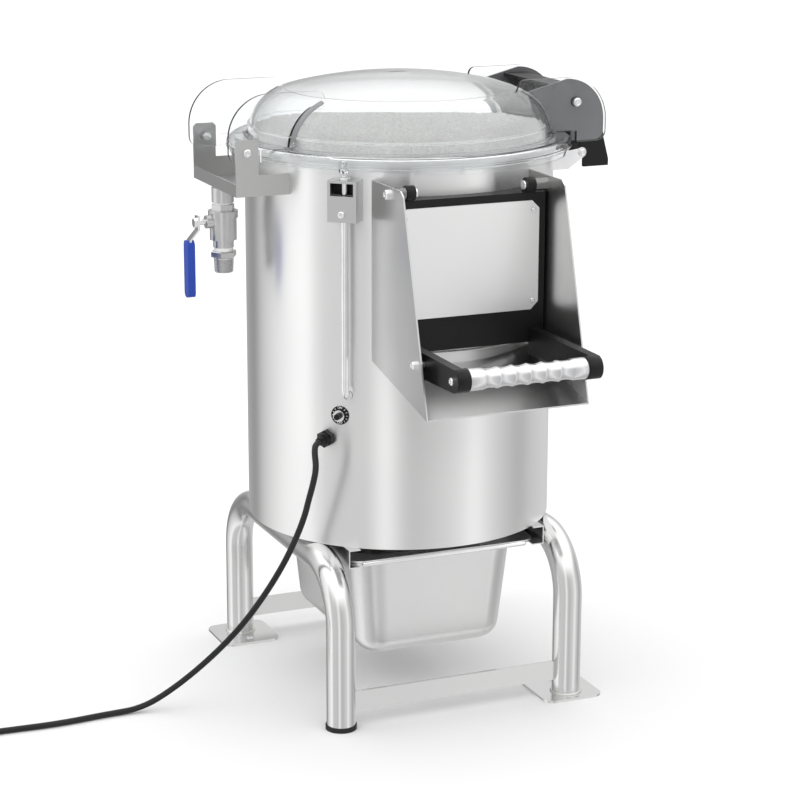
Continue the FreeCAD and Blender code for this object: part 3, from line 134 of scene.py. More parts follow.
class Finish:
    """One procedural material, with helpers for its grain."""

    def __init__(self, name, colour, metallic=0.0, roughness=0.4):
        self.material = bpy.data.materials.new(name)
        self.material.use_nodes = True
        tree = self.material.node_tree
        self.make, self.join = tree.nodes.new, tree.links.new
        self.shader = tree.nodes["Principled BSDF"]
        self.set("Base Color", (*colour, 1))
        self.set("Metallic", metallic)
        self.set("Roughness", roughness)
        self.place = self.make("ShaderNodeTexCoord").outputs["Object"]

    def set(self, name, value):
        """Set one of the shader's own values."""
        self.shader.inputs[name].default_value = value

    def noise(self, scale, stretch=(1, 1, 1), detail=3.0):
        """Noise in object space, stretched along the axes."""
        mapping = self.make("ShaderNodeMapping")
        mapping.inputs["Scale"].default_value = stretch
        self.join(self.place, mapping.inputs["Vector"])
        noise = self.make("ShaderNodeTexNoise")
        noise.inputs["Scale"].default_value = scale
        noise.inputs["Detail"].default_value = detail
        self.join(mapping.outputs[0], noise.inputs["Vector"])
        return noise.outputs["Fac"]

    def between(self, factor, low, high, target):
        """Let a noise move one of the shader's values between two limits."""
        span = self.make("ShaderNodeMapRange")
        span.inputs["From Min"].default_value = NOISE_LOW
        span.inputs["From Max"].default_value = NOISE_HIGH
        span.inputs["To Min"].default_value = low
        span.inputs["To Max"].default_value = high
        self.join(factor, span.inputs["Value"])
        self.join(span.outputs["Result"], self.shader.inputs[target])

    def tint(self, factor, first, second):
        """Let a noise move the colour between two."""
        ramp = self.make("ShaderNodeValToRGB")
        low, high = ramp.color_ramp.elements
        low.position, low.color = NOISE_LOW, (*first, 1)
        high.position, high.color = NOISE_HIGH, (*second, 1)
        self.join(factor, ramp.inputs["Fac"])
        self.join(ramp.outputs["Color"], self.shader.inputs["Base Color"])

    def bump(self, height, strength, distance):
        """Raise the surface by a height."""
        bump = self.make("ShaderNodeBump")
        bump.inputs["Strength"].default_value = strength
        bump.inputs["Distance"].default_value = distance
        self.join(height, bump.inputs["Height"])
        self.join(bump.outputs[0], self.shader.inputs["Normal"])


def lighter(colour, share, extra=0.0):
    """The same colour, a share brighter."""
    return tuple(min(1, part * share + extra) for part in colour)


def steel(name, level, roughness, stretch, strength=0.05, drawn=0.0):
    """Stainless steel with a fine grain. A drawn sheet smears its reflections up and down."""
    finish = Finish(name, (level, level, level), 1.0, roughness)
    if drawn:
        tangent = finish.make("ShaderNodeTangent")
        tangent.direction_type = "RADIAL"
        tangent.axis = "Z"
        finish.join(tangent.outputs[0], finish.shader.inputs["Tangent"])
        finish.set("Anisotropic", drawn)
        finish.set("Anisotropic Rotation", 0.25)
    grain = finish.noise(60, stretch, 4)
    spread = strength * 0.4
    finish.between(grain, roughness - spread, roughness + spread, "Roughness")
    cloud = finish.noise(5, detail=2)
    finish.tint(cloud, (level - 0.025,) * 3, (level + 0.015, level + 0.015, level + 0.01))
    finish.bump(grain, strength, FINE_BUMP)
    return finish.material


def moulding(name, colour, roughness, grain_scale=900, strength=0.25):
    """Moulded plastic or rubber with a fine skin."""
    finish = Finish(name, colour, 0.0, roughness)
    finish.set("Specular IOR Level", 0.25)
    grain = finish.noise(grain_scale, detail=2)
    finish.bump(grain, strength, FINE_BUMP)
    cloud = finish.noise(14)
    finish.between(cloud, roughness - 0.05, roughness + 0.08, "Roughness")
    finish.tint(cloud, colour, lighter(colour, 1.25, 0.002))
    return finish.material


def cast_metal(name, colour, roughness, strength):
    """Plated or cast metal with a slightly uneven skin."""
    finish = Finish(name, colour, 1.0, roughness)
    skin = finish.noise(420, detail=4)
    finish.bump(skin, strength, FINE_BUMP)
    patch = finish.noise(35)
    finish.between(patch, roughness - 0.06, roughness + 0.08, "Roughness")
    finish.tint(patch, colour, lighter(colour, 1.12))
    return finish.material


def banded(name, colour, roughness, metallic, scale, strength):
    """Finish with fine bands across X."""
    finish = Finish(name, colour, metallic, roughness)
    bands = finish.noise(scale, (14, 1, 1), 2)
    finish.bump(bands, strength, COARSE_BUMP)
    finish.between(bands, roughness - 0.05, roughness + 0.06, "Roughness")
    finish.tint(finish.noise(25), colour, lighter(colour, 1.08))
    return finish.material


def clear_plastic():
    """Clear polished sheet with the faintest unevenness."""
    finish = Finish("clear_plastic", (0.95, 0.96, 0.963), 0.0, 0.03)
    finish.set("Transmission Weight", 1.0)
    finish.set("IOR", 1.49)
    finish.bump(finish.noise(9, detail=1), 0.06, 0.002)
    return finish.material


def frosted():
    """Clear plastic dulled by the glue behind it."""
    finish = Finish("frosted_edge", (0.42, 0.43, 0.44), 0.0, 0.3)
    finish.set("Transmission Weight", 0.55)
    finish.bump(finish.noise(300), 0.2, COARSE_BUMP)
    return finish.material


def grit():
    """Mineral grit bonded on a wall."""
    finish = Finish("abrasive", (0.82, 0.82, 0.81), 0.0, 0.85)
    cells = finish.make("ShaderNodeTexVoronoi")
    cells.inputs["Scale"].default_value = 420
    finish.join(finish.place, cells.inputs["Vector"])
    finish.bump(cells.outputs["Distance"], 0.8, 0.0012)
    finish.tint(finish.noise(300, detail=4), (0.74, 0.74, 0.73), (0.90, 0.90, 0.89))
    return finish.material


def paint():
    """Dull pale paint for the floor."""
    finish = Finish("floor", (0.86, 0.86, 0.86), 0.0, 0.9)
    finish.set("Specular IOR Level", 0.0)
    return finish.material


MATERIALS = {
    "brushed_steel": steel("brushed_steel", 0.80, 0.24, (1, 1, 22)),
    "satin_steel": steel("satin_steel", 0.80, 0.36, (3, 3, 3), 0.08),
    "tube_steel": steel("tube_steel", 0.76, 0.21, (1, 1, 16)),
    "bright_steel": cast_metal("bright_steel", (0.82, 0.82, 0.83), 0.14, 0.05),
    "clear_plastic": clear_plastic(),
    "black_moulding": moulding("black_moulding", (0.006, 0.006, 0.0065), 0.38),
    "black_rubber": moulding("black_rubber", (0.016, 0.016, 0.016), 0.62, 600),
    "seal_rubber": moulding("seal_rubber", (0.55, 0.56, 0.56), 0.5, 600),
    "turned_aluminium": banded("turned_aluminium", (0.72, 0.72, 0.73), 0.24, 1.0, 60, 0.12),
    "cast_aluminium": cast_metal("cast_aluminium", (0.62, 0.62, 0.63), 0.45, 0.4),
    "abrasive": grit(),
    "valve_nickel": cast_metal("valve_nickel", (0.60, 0.60, 0.60), 0.30, 0.35),
    "white_sealing": banded("white_sealing", (0.86, 0.86, 0.84), 0.6, 0.0, 90, 0.5),
    "blue_dip": moulding("blue_dip", (0.018, 0.055, 0.34), 0.3, 300, 0.15),
    "motor_enamel": moulding("motor_enamel", (0.06, 0.07, 0.08), 0.4, 500),
    "cord_sheath": moulding("cord_sheath", (0.014, 0.014, 0.015), 0.42, 700),
    "plated_brass": cast_metal("plated_brass", (0.76, 0.69, 0.48), 0.22, 0.1),
}
GREY_PANEL = moulding("grey_panel", (0.125, 0.125, 0.13), 0.28, 500, 0.1)
PRINT = moulding("white_print", (0.8, 0.8, 0.8), 0.5, 500, 0.05)
WELD = cast_metal("weld_bead", (0.66, 0.65, 0.63), 0.3, 0.5)
FROSTED = frosted()

# Finishes of single nodes that the photograph shows darker, brighter or duller than their kind;
# the door plate's brighter steel is a painted highlight and the hinge sleeves' dark steel is a
# painted dark reflection
FINISH_AND_PAINTED_LIGHT = {
    "drum_shell": steel("drum_steel", 0.86, 0.35, (1, 1, 22), 0.02, 0.75),
    "lid_hinge_bracket": steel("bracket_steel", 0.56, 0.34, (3, 3, 3)),
    "discharge_chute": steel("chute_steel", 0.72, 0.31, (1, 1, 16), 0.03),
    # Painted highlight: the door plate's steel is made brighter than the other steel so the plate
    # shows the light it reflects
    "door_face_plate": steel("plate_steel_painted_highlight", 0.93, 0.42, (2, 2, 30), 0.08),
    # Painted dark reflection: the hinge sleeves' steel is made dark so they show the dark
    # surroundings they reflect
    "door_hinge_sleeves": steel("sleeve_steel_painted_dark_reflection", 0.22, 0.22, (1, 1, 1), 0.05),
    "interlock_cover": steel("cover_steel", 0.66, 0.3, (2, 2, 8), 0.03),
}
for item in frame["record"]["subparts"]:
    mesh = nodes[item["node"]].data
    mesh.materials.clear()
    mesh.materials.append(FINISH_AND_PAINTED_LIGHT.get(item["node"], MATERIALS[item["material_slot"]]))

# Clear plastic lets the studio's light through to what lies behind it
for name in ("lid_dome", "hinge_wings", "handle_wings"):
    nodes[name].visible_shadow = False


# Pieces: how a mesh or curve joins the scene
def add_piece(name, data, body, slot, material=None):
    """Put a mesh or curve in the scene, riding on a body."""
    piece = bpy.data.objects.new(name, data)
    bpy.context.scene.collection.objects.link(piece)
    data.materials.append(material or MATERIALS[slot])
    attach(piece, body)
    return piece


def mesh_from(name, skin, smooth=True):
    """Mesh with outward faces from corners and faces."""
    verts, faces = skin
    mesh = bpy.data.meshes.new(name)
    mesh.from_pydata([tuple(vert) for vert in verts], [], faces)
    work = bmesh.new()
    work.from_mesh(mesh)
    bmesh.ops.recalc_face_normals(work, faces=work.faces)
    work.to_mesh(mesh)
    work.free()
    mesh.polygons.foreach_set("use_smooth", [smooth] * len(mesh.polygons))
    return mesh


def at(place, direction=(0, 0, 1)):
    """Matrix that sets a piece on a point, in millimetres, with its +Z along a direction."""
    turn = Vector(direction).to_track_quat("Z", "Y").to_matrix().to_4x4()
    return Matrix.Translation(Vector(place) * MM) @ turn


def circle(reach, height, count=48):
    """Ring of points about +Z. Reach and height are millimetres, or rules of the angle."""
    points = []
    for step in range(count):
        angle = 2 * math.pi * step / count
        out = reach(angle) if callable(reach) else reach
        up = height(angle) if callable(height) else height
        points.append(Vector((out * math.cos(angle), out * math.sin(angle), up)) * MM)
    return points


def hexagon(half_flats):
    """Rule for the reach of a hexagon with this distance from its middle to a flat."""
    def reach(angle):
        inside = math.degrees(angle) % 60 - 30
        return half_flats / math.cos(math.radians(inside))
    return reach


def wrap(rings, closed=True):
    """Corners and faces of a skin over rings. One that isn't closed on itself has flat ends."""
    count, rows = len(rings[0]), len(rings)
    verts = [vert for ring in rings for vert in ring]
    faces = []
    for row in range(rows if closed else rows - 1):
        after = (row + 1) % rows
        for near in range(count):
            far = (near + 1) % count
            faces.append((row * count + near, row * count + far, after * count + far,
                          after * count + near))
    if not closed:
        faces += [tuple(range(count)), tuple(range(len(verts) - count, len(verts)))]
    return verts, faces


def moved(skin, matrix):
    """The same skin in another place."""
    verts, faces = skin
    return [matrix @ vert for vert in verts], faces


def both(first, second):
    """Two skins as one."""
    start = len(first[0])
    return (first[0] + second[0],
            first[1] + [tuple(start + corner for corner in face) for face in second[1]])


def turned(name, profile, body, slot, place, direction=(0, 0, 1), count=48):
    """Piece turned from a closed profile of (radius, height), and set in place."""
    skin = wrap([circle(radius, height, count) for radius, height in profile])
    return add_piece(name, mesh_from(name, moved(skin, at(place, direction))), body, slot)


HEAD_PROFILE = ((1, 0), (1, 0.25), (0.93, 0.6), (0.78, 0.88), (0.6, 1))
HEAD_SIDES = 24
SOCKET_SHARE, SOCKET_FLOOR = 0.5, 0.35


def button_head(name, body, seat, direction, radius, tall):
    """Domed screw head with a hexagonal socket, set on a point."""
    rings = [circle(radius * out, tall * up, HEAD_SIDES) for out, up in HEAD_PROFILE]
    socket = hexagon(radius * SOCKET_SHARE * math.cos(math.radians(30)))
    rings += [circle(socket, height, HEAD_SIDES) for height in (tall, tall * SOCKET_FLOOR)]
    mesh = mesh_from(name, moved(wrap(rings, closed=False), at(seat, direction)))
    mesh.polygons.foreach_set("use_smooth", [len(face.vertices) == 4 for face in mesh.polygons])
    return add_piece(name, mesh, body, "bright_steel")


def rounded_block(name, size, matrix, body, slot, radius):
    """Block with soft edges, centred on a matrix."""
    mesh = bpy.data.meshes.new(name)
    work = bmesh.new()
    bmesh.ops.create_cube(work, size=1)
    bmesh.ops.scale(work, vec=Vector(size) * MM, verts=work.verts)
    bmesh.ops.bevel(work, geom=work.edges[:], offset=radius * MM, segments=3, affect="EDGES",
                    profile=0.5)
    bmesh.ops.transform(work, matrix=matrix, verts=work.verts)
    work.to_mesh(mesh)
    work.free()
    return add_piece(name, mesh, body, slot)


def tube_curve(name, points, radius, sides, kind):
    """Curve with a round section along points, and its spline."""
    data = bpy.data.curves.new(name, "CURVE")
    data.dimensions = "3D"
    data.bevel_depth = radius * MM
    data.bevel_resolution = sides
    spline = data.splines.new(kind)
    spline.points.add(len(points) - 1)
    for target, point in zip(spline.points, points):
        target.co = (*(point * MM), 1)
    return data, spline


def radial(turn, reach, height):
    """Point at a direction round the drum, a distance from its axis and a height."""
    angle = math.radians(turn)
    return Vector((reach * math.cos(angle), reach * math.sin(angle), height))


def outward(turn):
    """Direction away from the drum's axis."""
    return radial(turn, 1, 0)


# Mains cord: from the gland down to the floor, into its put-away coil and up to the plug
CORD_RADIUS = 4
GLAND_TURN, GLAND_HEIGHT, GLAND_END = -139.6, 374.4, 219
CORD_ROUTE = [
    radial(GLAND_TURN, GLAND_END, GLAND_HEIGHT), radial(GLAND_TURN, 236, GLAND_HEIGHT),
    Vector((-188, -171, 368)), Vector((-191, -185, 352)), Vector((-197, -188, 331)),
    Vector((-199, -178, 309)), Vector((-200, -166, 284)), Vector((-207, -152, 250)),
    Vector((-219, -135, 210)), Vector((-237, -115, 166)), Vector((-263, -91, 116)),
    Vector((-300, -67, 68)), Vector((-342, -48, 28)), Vector((-386, -44, 4.8)),
    Vector((-436, -44, 4)), Vector((-500, -51, 4)), Vector((-562, -47.5, 4)),
    Vector((-600, -46.2, 4)), Vector((-632, -46, 4))]
COIL_X, COIL_Y, COIL_STEP = -640, -46, 8.6
COIL_RADII = (50, 45.7, 41.4, 37.1, 41.4, 45.7)
CLIMBING_TURN = 3
STEPS_PER_HALF = 8
PULL_IN = 0.981
PLUG_RADIUS = 18.5
LEAD_OUT, LEAD_BEND, LEAD_END, LEAD_RISE = 15, 31, 47, 0.8


def coil_point(turns, radius, y, z):
    """Control point of the coil after some half turns from its start."""
    angle = -math.pi * (0.5 + turns)
    reach = radius / PULL_IN
    return Vector((COIL_X + reach * math.cos(angle), y + reach * math.sin(angle), z))


def coil_points():
    """Half turns that spiral in, climb one layer and spiral out again, then a quarter turn."""
    points = []
    y, z = COIL_Y, CORD_RADIUS
    for turn, radius in enumerate(COIL_RADII):
        side = 1 if turn % 2 == 0 else -1
        rise = COIL_STEP if turn == CLIMBING_TURN else 0
        for step in range(STEPS_PER_HALF):
            share = (step + 0.5) / STEPS_PER_HALF
            points.append(coil_point(turn + share, radius, y + side * radius, z + rise * share))
        y += side * math.sqrt(4 * radius * radius - rise * rise)
        z += rise
    last = COIL_RADII[0]
    for step in range(STEPS_PER_HALF // 2):
        points.append(coil_point((step + 0.5) / STEPS_PER_HALF, last, y + last, z))
    return points, Vector((COIL_X - last, y + last, z))


def add_cord():
    """One smooth line for the cord's whole length."""
    winding, loose_end = coil_points()
    start = loose_end + Vector((0, 2 * CORD_RADIUS, 0))
    plug_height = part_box("mains_plug")[0][2] / MM + PLUG_RADIUS
    lead = [start, start + Vector((0, LEAD_OUT, LEAD_RISE)),
            Vector((start.x, start.y + LEAD_BEND, plug_height - LEAD_RISE)),
            Vector((start.x, start.y + LEAD_END, plug_height))]
    data, spline = tube_curve("power_cord", CORD_ROUTE + winding + lead, CORD_RADIUS, 5, "NURBS")
    data.use_fill_caps = True
    spline.order_u = 3
    spline.use_endpoint_u = True
    spline.resolution_u = 6
    cord = add_piece("power_cord", data, "root", "cord_sheath")
    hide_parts("mains_cord", "cord_coil", "plug_lead")
    return cord


power_cord = add_cord()
SLEEVE_PROFILE = [(6.6, 0), (6.6, 3), (5.9, 3.6), (5.9, 5), (5.6, 5.6), (5.6, 7.4), (5.2, 8),
                  (5.0, 10.4), (4.3, 11), (4.1, 11), (4.1, 0)]
SLEEVE_SUNK = 2
sleeve = turned("gland_sleeve", SLEEVE_PROFILE, "root", "black_moulding",
                radial(GLAND_TURN, GLAND_END - SLEEVE_SUNK, GLAND_HEIGHT), outward(GLAND_TURN))

# Screws: domed heads, as (name, body, node whose outer face it sits on, place, radius, height)
DOOR_AXIS, CATCH, GRIP = (-225, 702), (-309, 506), (-392, 504)
HANDLE_BOLT, LID_HINGE, EAR = (220.8, 780.7), (-242.6, 740.5), (232, 712.5)
HEADS_ALONG_X = (
    ("door_hinge_head", "root", "door_hinge_bolts", DOOR_AXIS, 6.4, 2),
    ("catch_head", "root", "door_catch_pins", CATCH, 5.4, 1.8),
    ("grip_head", "door", "door_screws", GRIP, 4.9, 1.8))
HEADS_ALONG_Y = (
    ("handle_head", "lid", "handle_bolts", HANDLE_BOLT, 5.9, 2),
    ("hinge_head", "root", "lid_hinge_bolts", LID_HINGE, 5.4, 2),
    ("ear_head", "root", "lid_catch_ears", EAR, 4.9, 1.6))
for side, word in ((-1, "left"), (1, "right")):
    for name, body, node, (y, z), radius, tall in HEADS_ALONG_X:
        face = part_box(node)[1][0] / MM
        button_head(f"{name}_{word}", body, (side * face, y, z), (side, 0, 0), radius, tall)
for side, word in ((-1, "front"), (1, "rear")):
    for name, body, node, (x, z), radius, tall in HEADS_ALONG_Y:
        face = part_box(node)[1][1] / MM
        button_head(f"{name}_{word}", body, (x, side * face, z), (0, side, 0), radius, tall)
PLATE_HEADS = ((-88, 554), (-88, 670), (88, 554), (88, 670))
PLATE_HEAD_FACE, PLATE_HEAD_RADIUS, PLATE_HEAD_TALL = -227.1, 3.1, 1.1
for index, (x, z) in enumerate(PLATE_HEADS):
    button_head(f"plate_head_{index}", "door", (x, PLATE_HEAD_FACE, z), (0, -1, 0),
                PLATE_HEAD_RADIUS, PLATE_HEAD_TALL)
LOCK_TURN, LOCK_FRONT, LOCK_SCREW_HEIGHT = -131, 232.1, 671
button_head("lock_head", "root", radial(LOCK_TURN, LOCK_FRONT, LOCK_SCREW_HEIGHT),
            outward(LOCK_TURN), 4.6, 1.5)

# Lid: the dome's outer line, and what is bonded to it
SHOULDER, RISE, DOME_OUT, FLANGE_TOP = 151, 19, 200.5, 742
CROWN_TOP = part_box("lid_dome")[1][2] / MM
CROWN_RADIUS = (SHOULDER ** 2 + RISE ** 2) / (2 * RISE)
CROWN_SINE = SHOULDER / CROWN_RADIUS
SHOULDER_RADIUS = (DOME_OUT - SHOULDER) / (1 - CROWN_SINE)
SHOULDER_X = DOME_OUT - SHOULDER_RADIUS
SHOULDER_Z = CROWN_TOP - RISE - SHOULDER_RADIUS * math.sqrt(1 - CROWN_SINE ** 2)
RIDGES = (("lower", 199.6, 757, 1.0), ("foot", 203.5, 742.6, 1.6), ("bead", 227.6, 729, 1.0))
RIDGE_SIDES = 10


def dome_height(radius):
    """Height of the dome's outside at a distance from the axis."""
    if radius <= SHOULDER:
        return CROWN_TOP - CROWN_RADIUS + math.sqrt(CROWN_RADIUS ** 2 - radius ** 2)
    reach = min(radius - SHOULDER_X, SHOULDER_RADIUS)
    return max(FLANGE_TOP, SHOULDER_Z + math.sqrt(SHOULDER_RADIUS ** 2 - reach ** 2))


def round_section(radius, height, thick):
    """Closed profile of a ring with a round section."""
    turns = [2 * math.pi * step / RIDGE_SIDES for step in range(RIDGE_SIDES)]
    return [(radius + thick * math.cos(turn), height + thick * math.sin(turn)) for turn in turns]


for word, radius, height, thick in RIDGES:
    turned(f"lid_ridge_{word}", round_section(radius, height, thick), "lid", "clear_plastic",
           (0, 0, 0), count=96)

CHEEK_OUT, CHEEK_LOW, CHEEK_TOP, CHEEK_ROUND = 263, 729, 811, 54
CHEEK_MIDDLE, CHEEK_THICK = 73, 3.4
CHEEK_CORNER = [(252, CHEEK_LOW), (259, CHEEK_LOW + 3), (CHEEK_OUT, CHEEK_LOW + 10)]
CHEEK_BESIDE_BEAD = [(216.8, FLANGE_TOP + 1), (217.2, CHEEK_LOW + 6), (217.6, CHEEK_LOW)]
DOME_GAP = 1


def cheek_outline():
    """Grey cheek behind a handle wing, cut to the dome and the bead."""
    points = list(CHEEK_CORNER)
    for step in range(13):
        angle = math.radians(90 * step / 12)
        points.append((CHEEK_OUT - CHEEK_ROUND + CHEEK_ROUND * math.cos(angle),
                       CHEEK_TOP - CHEEK_ROUND + CHEEK_ROUND * math.sin(angle)))
    for x in range(152, 213, 4):
        points.append((x, dome_height(math.hypot(x, CHEEK_MIDDLE)) + DOME_GAP))
    return points + CHEEK_BESIDE_BEAD


for side, word in ((-1, "front"), (1, "rear")):
    name = f"handle_cheek_{word}"
    rings = [[Vector((x, side * CHEEK_MIDDLE + shift, z)) * MM for x, z in cheek_outline()]
             for shift in (-CHEEK_THICK / 2, CHEEK_THICK / 2)]
    add_piece(name, mesh_from(name, wrap(rings, closed=False), False), "lid", "black_moulding",
              GREY_PANEL)

BOND_START, BOND_LENGTH, BOND_COLUMNS = 140, 49, 22
BOND_INNER, BOND_WIDE, BOND_ROWS = 80, 8, 5
BOND_LOW, BOND_HIGH, BOND_FADE = 0.2, 1.8, 0.6


def bond_strip(name, way, side):
    """Narrow foot of a wing, bent to the dome beside it."""
    rings = []
    for column in range(BOND_COLUMNS):
        x = way * (BOND_START + BOND_LENGTH * column / (BOND_COLUMNS - 1))
        low, high = [], []
        for row in range(BOND_ROWS):
            share = row / (BOND_ROWS - 1)
            y = side * (BOND_INNER + BOND_WIDE * share)
            skin = dome_height(math.hypot(x, y))
            fade = 1 - share * BOND_FADE
            low.append(Vector((x, y, skin + BOND_LOW * fade)) * MM)
            high.append(Vector((x, y, skin + BOND_HIGH * fade)) * MM)
        rings.append(low + high[::-1])
    add_piece(name, mesh_from(name, wrap(rings, closed=False)), "lid", "clear_plastic", FROSTED)


for way, word in ((-1, "hinge"), (1, "handle")):
    for side, end in ((-1, "front"), (1, "rear")):
        bond_strip(f"bond_{word}_{end}", way, side)

# Interlock: the pin's guide bush and boss, and the black switch block behind the window
LOCK_PIN_REACH, LOCK_TOP = 218.5, 713
BOSS_REACH, BOSS_LOW = 221, 722.5
LOCK_BLOCK_SIZE, LOCK_BLOCK_AT = (7, 31, 17), (209.5, 0, 701.5)
turned("lock_bush", [(4.4, 0), (7, 0), (7, 2.4), (6.4, 3.2), (4.4, 3.2)], "root", "bright_steel",
       radial(LOCK_TURN, LOCK_PIN_REACH, LOCK_TOP))
turned("lock_boss", [(1.5, 0), (6, 0), (6, 13), (5.4, 14), (1.5, 14)], "lid", "clear_plastic",
       radial(LOCK_TURN, BOSS_REACH, BOSS_LOW))
lock_frame = (Matrix.Rotation(math.radians(LOCK_TURN), 4, "Z")
              @ Matrix.Translation(Vector(LOCK_BLOCK_AT) * MM))
rounded_block("lock_block", LOCK_BLOCK_SIZE, lock_frame, "root", "black_moulding", 0.8)

# Switch: generic marks printed on the legend ring
SWITCH_TURN, SWITCH_HEIGHT, LEGEND_FACE = -134.4, 406.3, 205.06
WORD_SIZE, WORD_THICK, WORD_REACH = 4.2, 0.06, 10
TICKS_A_SIDE, TICK_STEP, TICK_REACH, TICK_SIZE = 5, 25, 9.9, (2.2, 0.6, 0.16)
switch_frame = (Matrix.Rotation(math.radians(SWITCH_TURN), 4, "Z")
                @ Matrix.Translation((LEGEND_FACE * MM, 0, SWITCH_HEIGHT * MM))
                @ Matrix.Rotation(math.pi / 2, 4, "Z") @ Matrix.Rotation(math.pi / 2, 4, "X"))


def printed_word(name, word, up):
    """Small word on the legend ring."""
    data = bpy.data.curves.new(name, "FONT")
    data.body = word
    data.size = WORD_SIZE * MM
    data.align_x = "CENTER"
    data.align_y = "CENTER"
    data.extrude = WORD_THICK * MM
    piece = add_piece(name, data, "root", "white_sealing", PRINT)
    piece.matrix_world = switch_frame @ Matrix.Translation((0, up * MM, 0))


printed_word("legend_on", "ON", WORD_REACH)
printed_word("legend_off", "OFF", -WORD_REACH)
for index in range(2 * TICKS_A_SIDE):
    half, place = divmod(index, TICKS_A_SIDE)
    angle = math.radians(180 * half + TICK_STEP * (place - TICKS_A_SIDE // 2))
    spot = (switch_frame @ Matrix.Rotation(angle, 4, "Z")
            @ Matrix.Translation((TICK_REACH * MM, 0, 0)))
    rounded_block(f"legend_tick_{index}", TICK_SIZE, spot, "root", "white_sealing", 0.05)

# Water outlet: hexagon and tapered pipe thread in place of the plain nipple
PIPE_X, BORE = -246.5, 9.5
NIPPLE_LOW, NIPPLE_TOP = (corner[2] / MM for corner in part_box("outlet_nipple"))
NIPPLE_HEX_LOW = NIPPLE_TOP - 8
NIPPLE_HEX, HEX_CHAMFER, HEX_CHAMFER_SHARE = 15.0, 1, 0.93
THREAD_PITCH, THREAD_DEEP, THREAD_RADIUS, THREAD_TAPER = 1.8, 1.0, 12.4, 0.8
THREAD_LEAD, NIPPLE_MOUTH, NIPPLE_NECK = 0.6, 11.4, 12.6


def add_nipple():
    """Threaded nipple with a chamfered hexagon."""
    profile = [(BORE, NIPPLE_LOW), (NIPPLE_MOUTH, NIPPLE_LOW)]
    turns = int((NIPPLE_HEX_LOW - NIPPLE_LOW - 1) / THREAD_PITCH)
    for turn in range(turns):
        height = NIPPLE_LOW + THREAD_LEAD + turn * THREAD_PITCH
        crest = THREAD_RADIUS + THREAD_TAPER * turn / turns
        profile += [(crest - THREAD_DEEP, height), (crest, height + THREAD_PITCH * 0.4),
                    (crest, height + THREAD_PITCH * 0.6)]
    profile += [(NIPPLE_NECK, NIPPLE_HEX_LOW - 0.5), (NIPPLE_NECK, NIPPLE_HEX_LOW),
                (BORE, NIPPLE_HEX_LOW)]
    thread = wrap([circle(radius, height) for radius, height in profile])
    chamfered, full = hexagon(NIPPLE_HEX * HEX_CHAMFER_SHARE), hexagon(NIPPLE_HEX)
    collar = wrap([
        circle(chamfered, NIPPLE_HEX_LOW), circle(full, NIPPLE_HEX_LOW + HEX_CHAMFER),
        circle(full, NIPPLE_TOP - HEX_CHAMFER), circle(chamfered, NIPPLE_TOP),
        circle(BORE, NIPPLE_TOP), circle(BORE, NIPPLE_HEX_LOW)])
    skin = moved(both(thread, collar), Matrix.Translation((PIPE_X * MM, 0, 0)))
    piece = add_piece("threaded_nipple", mesh_from("threaded_nipple", skin, False), "root",
                      "valve_nickel")
    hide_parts("outlet_nipple")


add_nipple()

# Welds round the two tube feet that stand on plates
LEG_ACROSS, LEG_ALONG, WELD_RADIUS = 163, 196, 19.55
WELD_HEIGHT, WELD_THICK, WELD_RIPPLE, WELD_RIPPLES, WELD_SIDES = 3.6, 1.7, 0.12, 24, 8


def weld_ring(name, x, y):
    """Rippled weld bead round a tube."""
    def bead(angle):
        return WELD_THICK * (1 + WELD_RIPPLE * math.cos(angle * WELD_RIPPLES))

    rings = []
    for part in range(WELD_SIDES):
        turn = 2 * math.pi * part / WELD_SIDES
        rings.append(circle(lambda angle: WELD_RADIUS + bead(angle) * math.cos(turn),
                            lambda angle: WELD_HEIGHT + bead(angle) * math.sin(turn), 96))
    skin = moved(wrap(rings), at((x, y, 0)))
    add_piece(name, mesh_from(name, skin), "root", "tube_steel", WELD)


weld_ring("weld_front_right", LEG_ACROSS, -LEG_ALONG)
weld_ring("weld_rear_left", -LEG_ACROSS, LEG_ALONG)

# Waste pan: the rolled edge of its rim, thicker along the front
PAN_LOW, PAN_HIGH = (Vector(corner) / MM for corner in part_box("waste_pan"))
ROLL_INSET, ROLL_DROP, ROLL_RADIUS, ROLL_CORNER = 1.5, 2, 2.3, 19
FRONT_ROLL_HALF, FRONT_ROLL_DROP = 118, 4.2
FRONT_ROLL_END = ((0.4, 0), (2.6, 0.3), (3.4, 1.2), (3.7, 2.8))


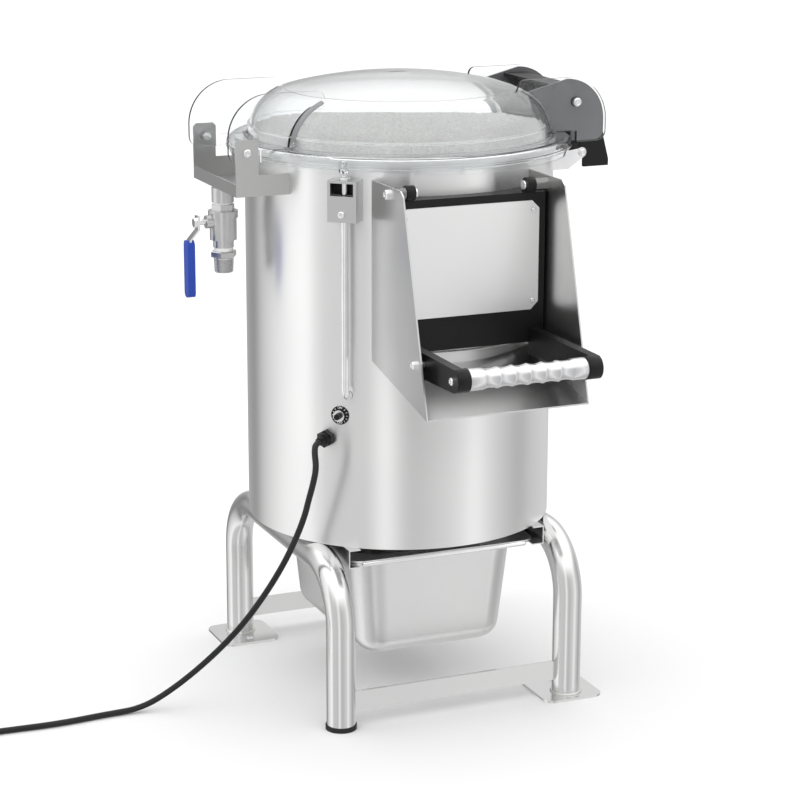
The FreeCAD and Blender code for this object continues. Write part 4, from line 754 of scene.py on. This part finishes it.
def add_pan_roll():
    """Round edge that runs along the pan's rim."""
    half = PAN_HIGH.x - ROLL_INSET - ROLL_CORNER
    front, back = PAN_LOW.y + ROLL_INSET + ROLL_CORNER, PAN_HIGH.y - ROLL_INSET - ROLL_CORNER
    points = []
    for x, y, first in ((half, front, -90), (half, back, 0), (-half, back, 90),
                        (-half, front, 180)):
        for step in range(9):
            angle = math.radians(first + 90 * step / 8)
            points.append(Vector((x + ROLL_CORNER * math.cos(angle),
                                  y + ROLL_CORNER * math.sin(angle), PAN_HIGH.z - ROLL_DROP)))
    data, spline = tube_curve("pan_rim_roll", points, ROLL_RADIUS, 4, "POLY")
    spline.use_cyclic_u = True
    add_piece("pan_rim_roll", data, "pan", "satin_steel")


add_pan_roll()
far_end = [(radius, 2 * FRONT_ROLL_HALF - height) for radius, height in FRONT_ROLL_END[::-1]]
turned("pan_front_roll", [*FRONT_ROLL_END, *far_end], "pan", "bright_steel",
       (-FRONT_ROLL_HALF, PAN_LOW.y + ROLL_INSET, PAN_HIGH.z - FRONT_ROLL_DROP), (1, 0, 0))

# Soft edges on folded sheet and on the mouldings, in millimetres
SOFT_EDGES = {"door_panel": 1.2, "door_arms": 1.4, "lid_handle": 0.9, "lever_grip": 1.6,
              "door_grip": 0.8}
WELD_DISTANCE = 0.02
SHARP_ANGLE = 35


def soften(piece, width):
    """Round the sharp edges of a piece a little."""
    weld = piece.modifiers.new("weld", "WELD")
    weld.merge_threshold = WELD_DISTANCE * MM
    bevel = piece.modifiers.new("bevel", "BEVEL")
    bevel.width = width * MM
    bevel.segments = 2
    bevel.limit_method = "ANGLE"
    bevel.angle_limit = math.radians(SHARP_ANGLE)
    bevel.harden_normals = True


for name, width in SOFT_EDGES.items():
    soften(nodes[name], width)

# Floor
FLOOR_HALF = 30


def add_floor():
    """Pale floor that fills the view."""
    corners = [(-FLOOR_HALF, -FLOOR_HALF, 0), (FLOOR_HALF, -FLOOR_HALF, 0),
               (FLOOR_HALF, FLOOR_HALF, 0), (-FLOOR_HALF, FLOOR_HALF, 0)]
    mesh = bpy.data.meshes.new("floor")
    mesh.from_pydata(corners, [], [(0, 1, 2, 3)])
    mesh.materials.append(paint())
    floor = bpy.data.objects.new("floor", mesh)
    bpy.context.scene.collection.objects.link(floor)
    floor.visible_glossy = False


add_floor()
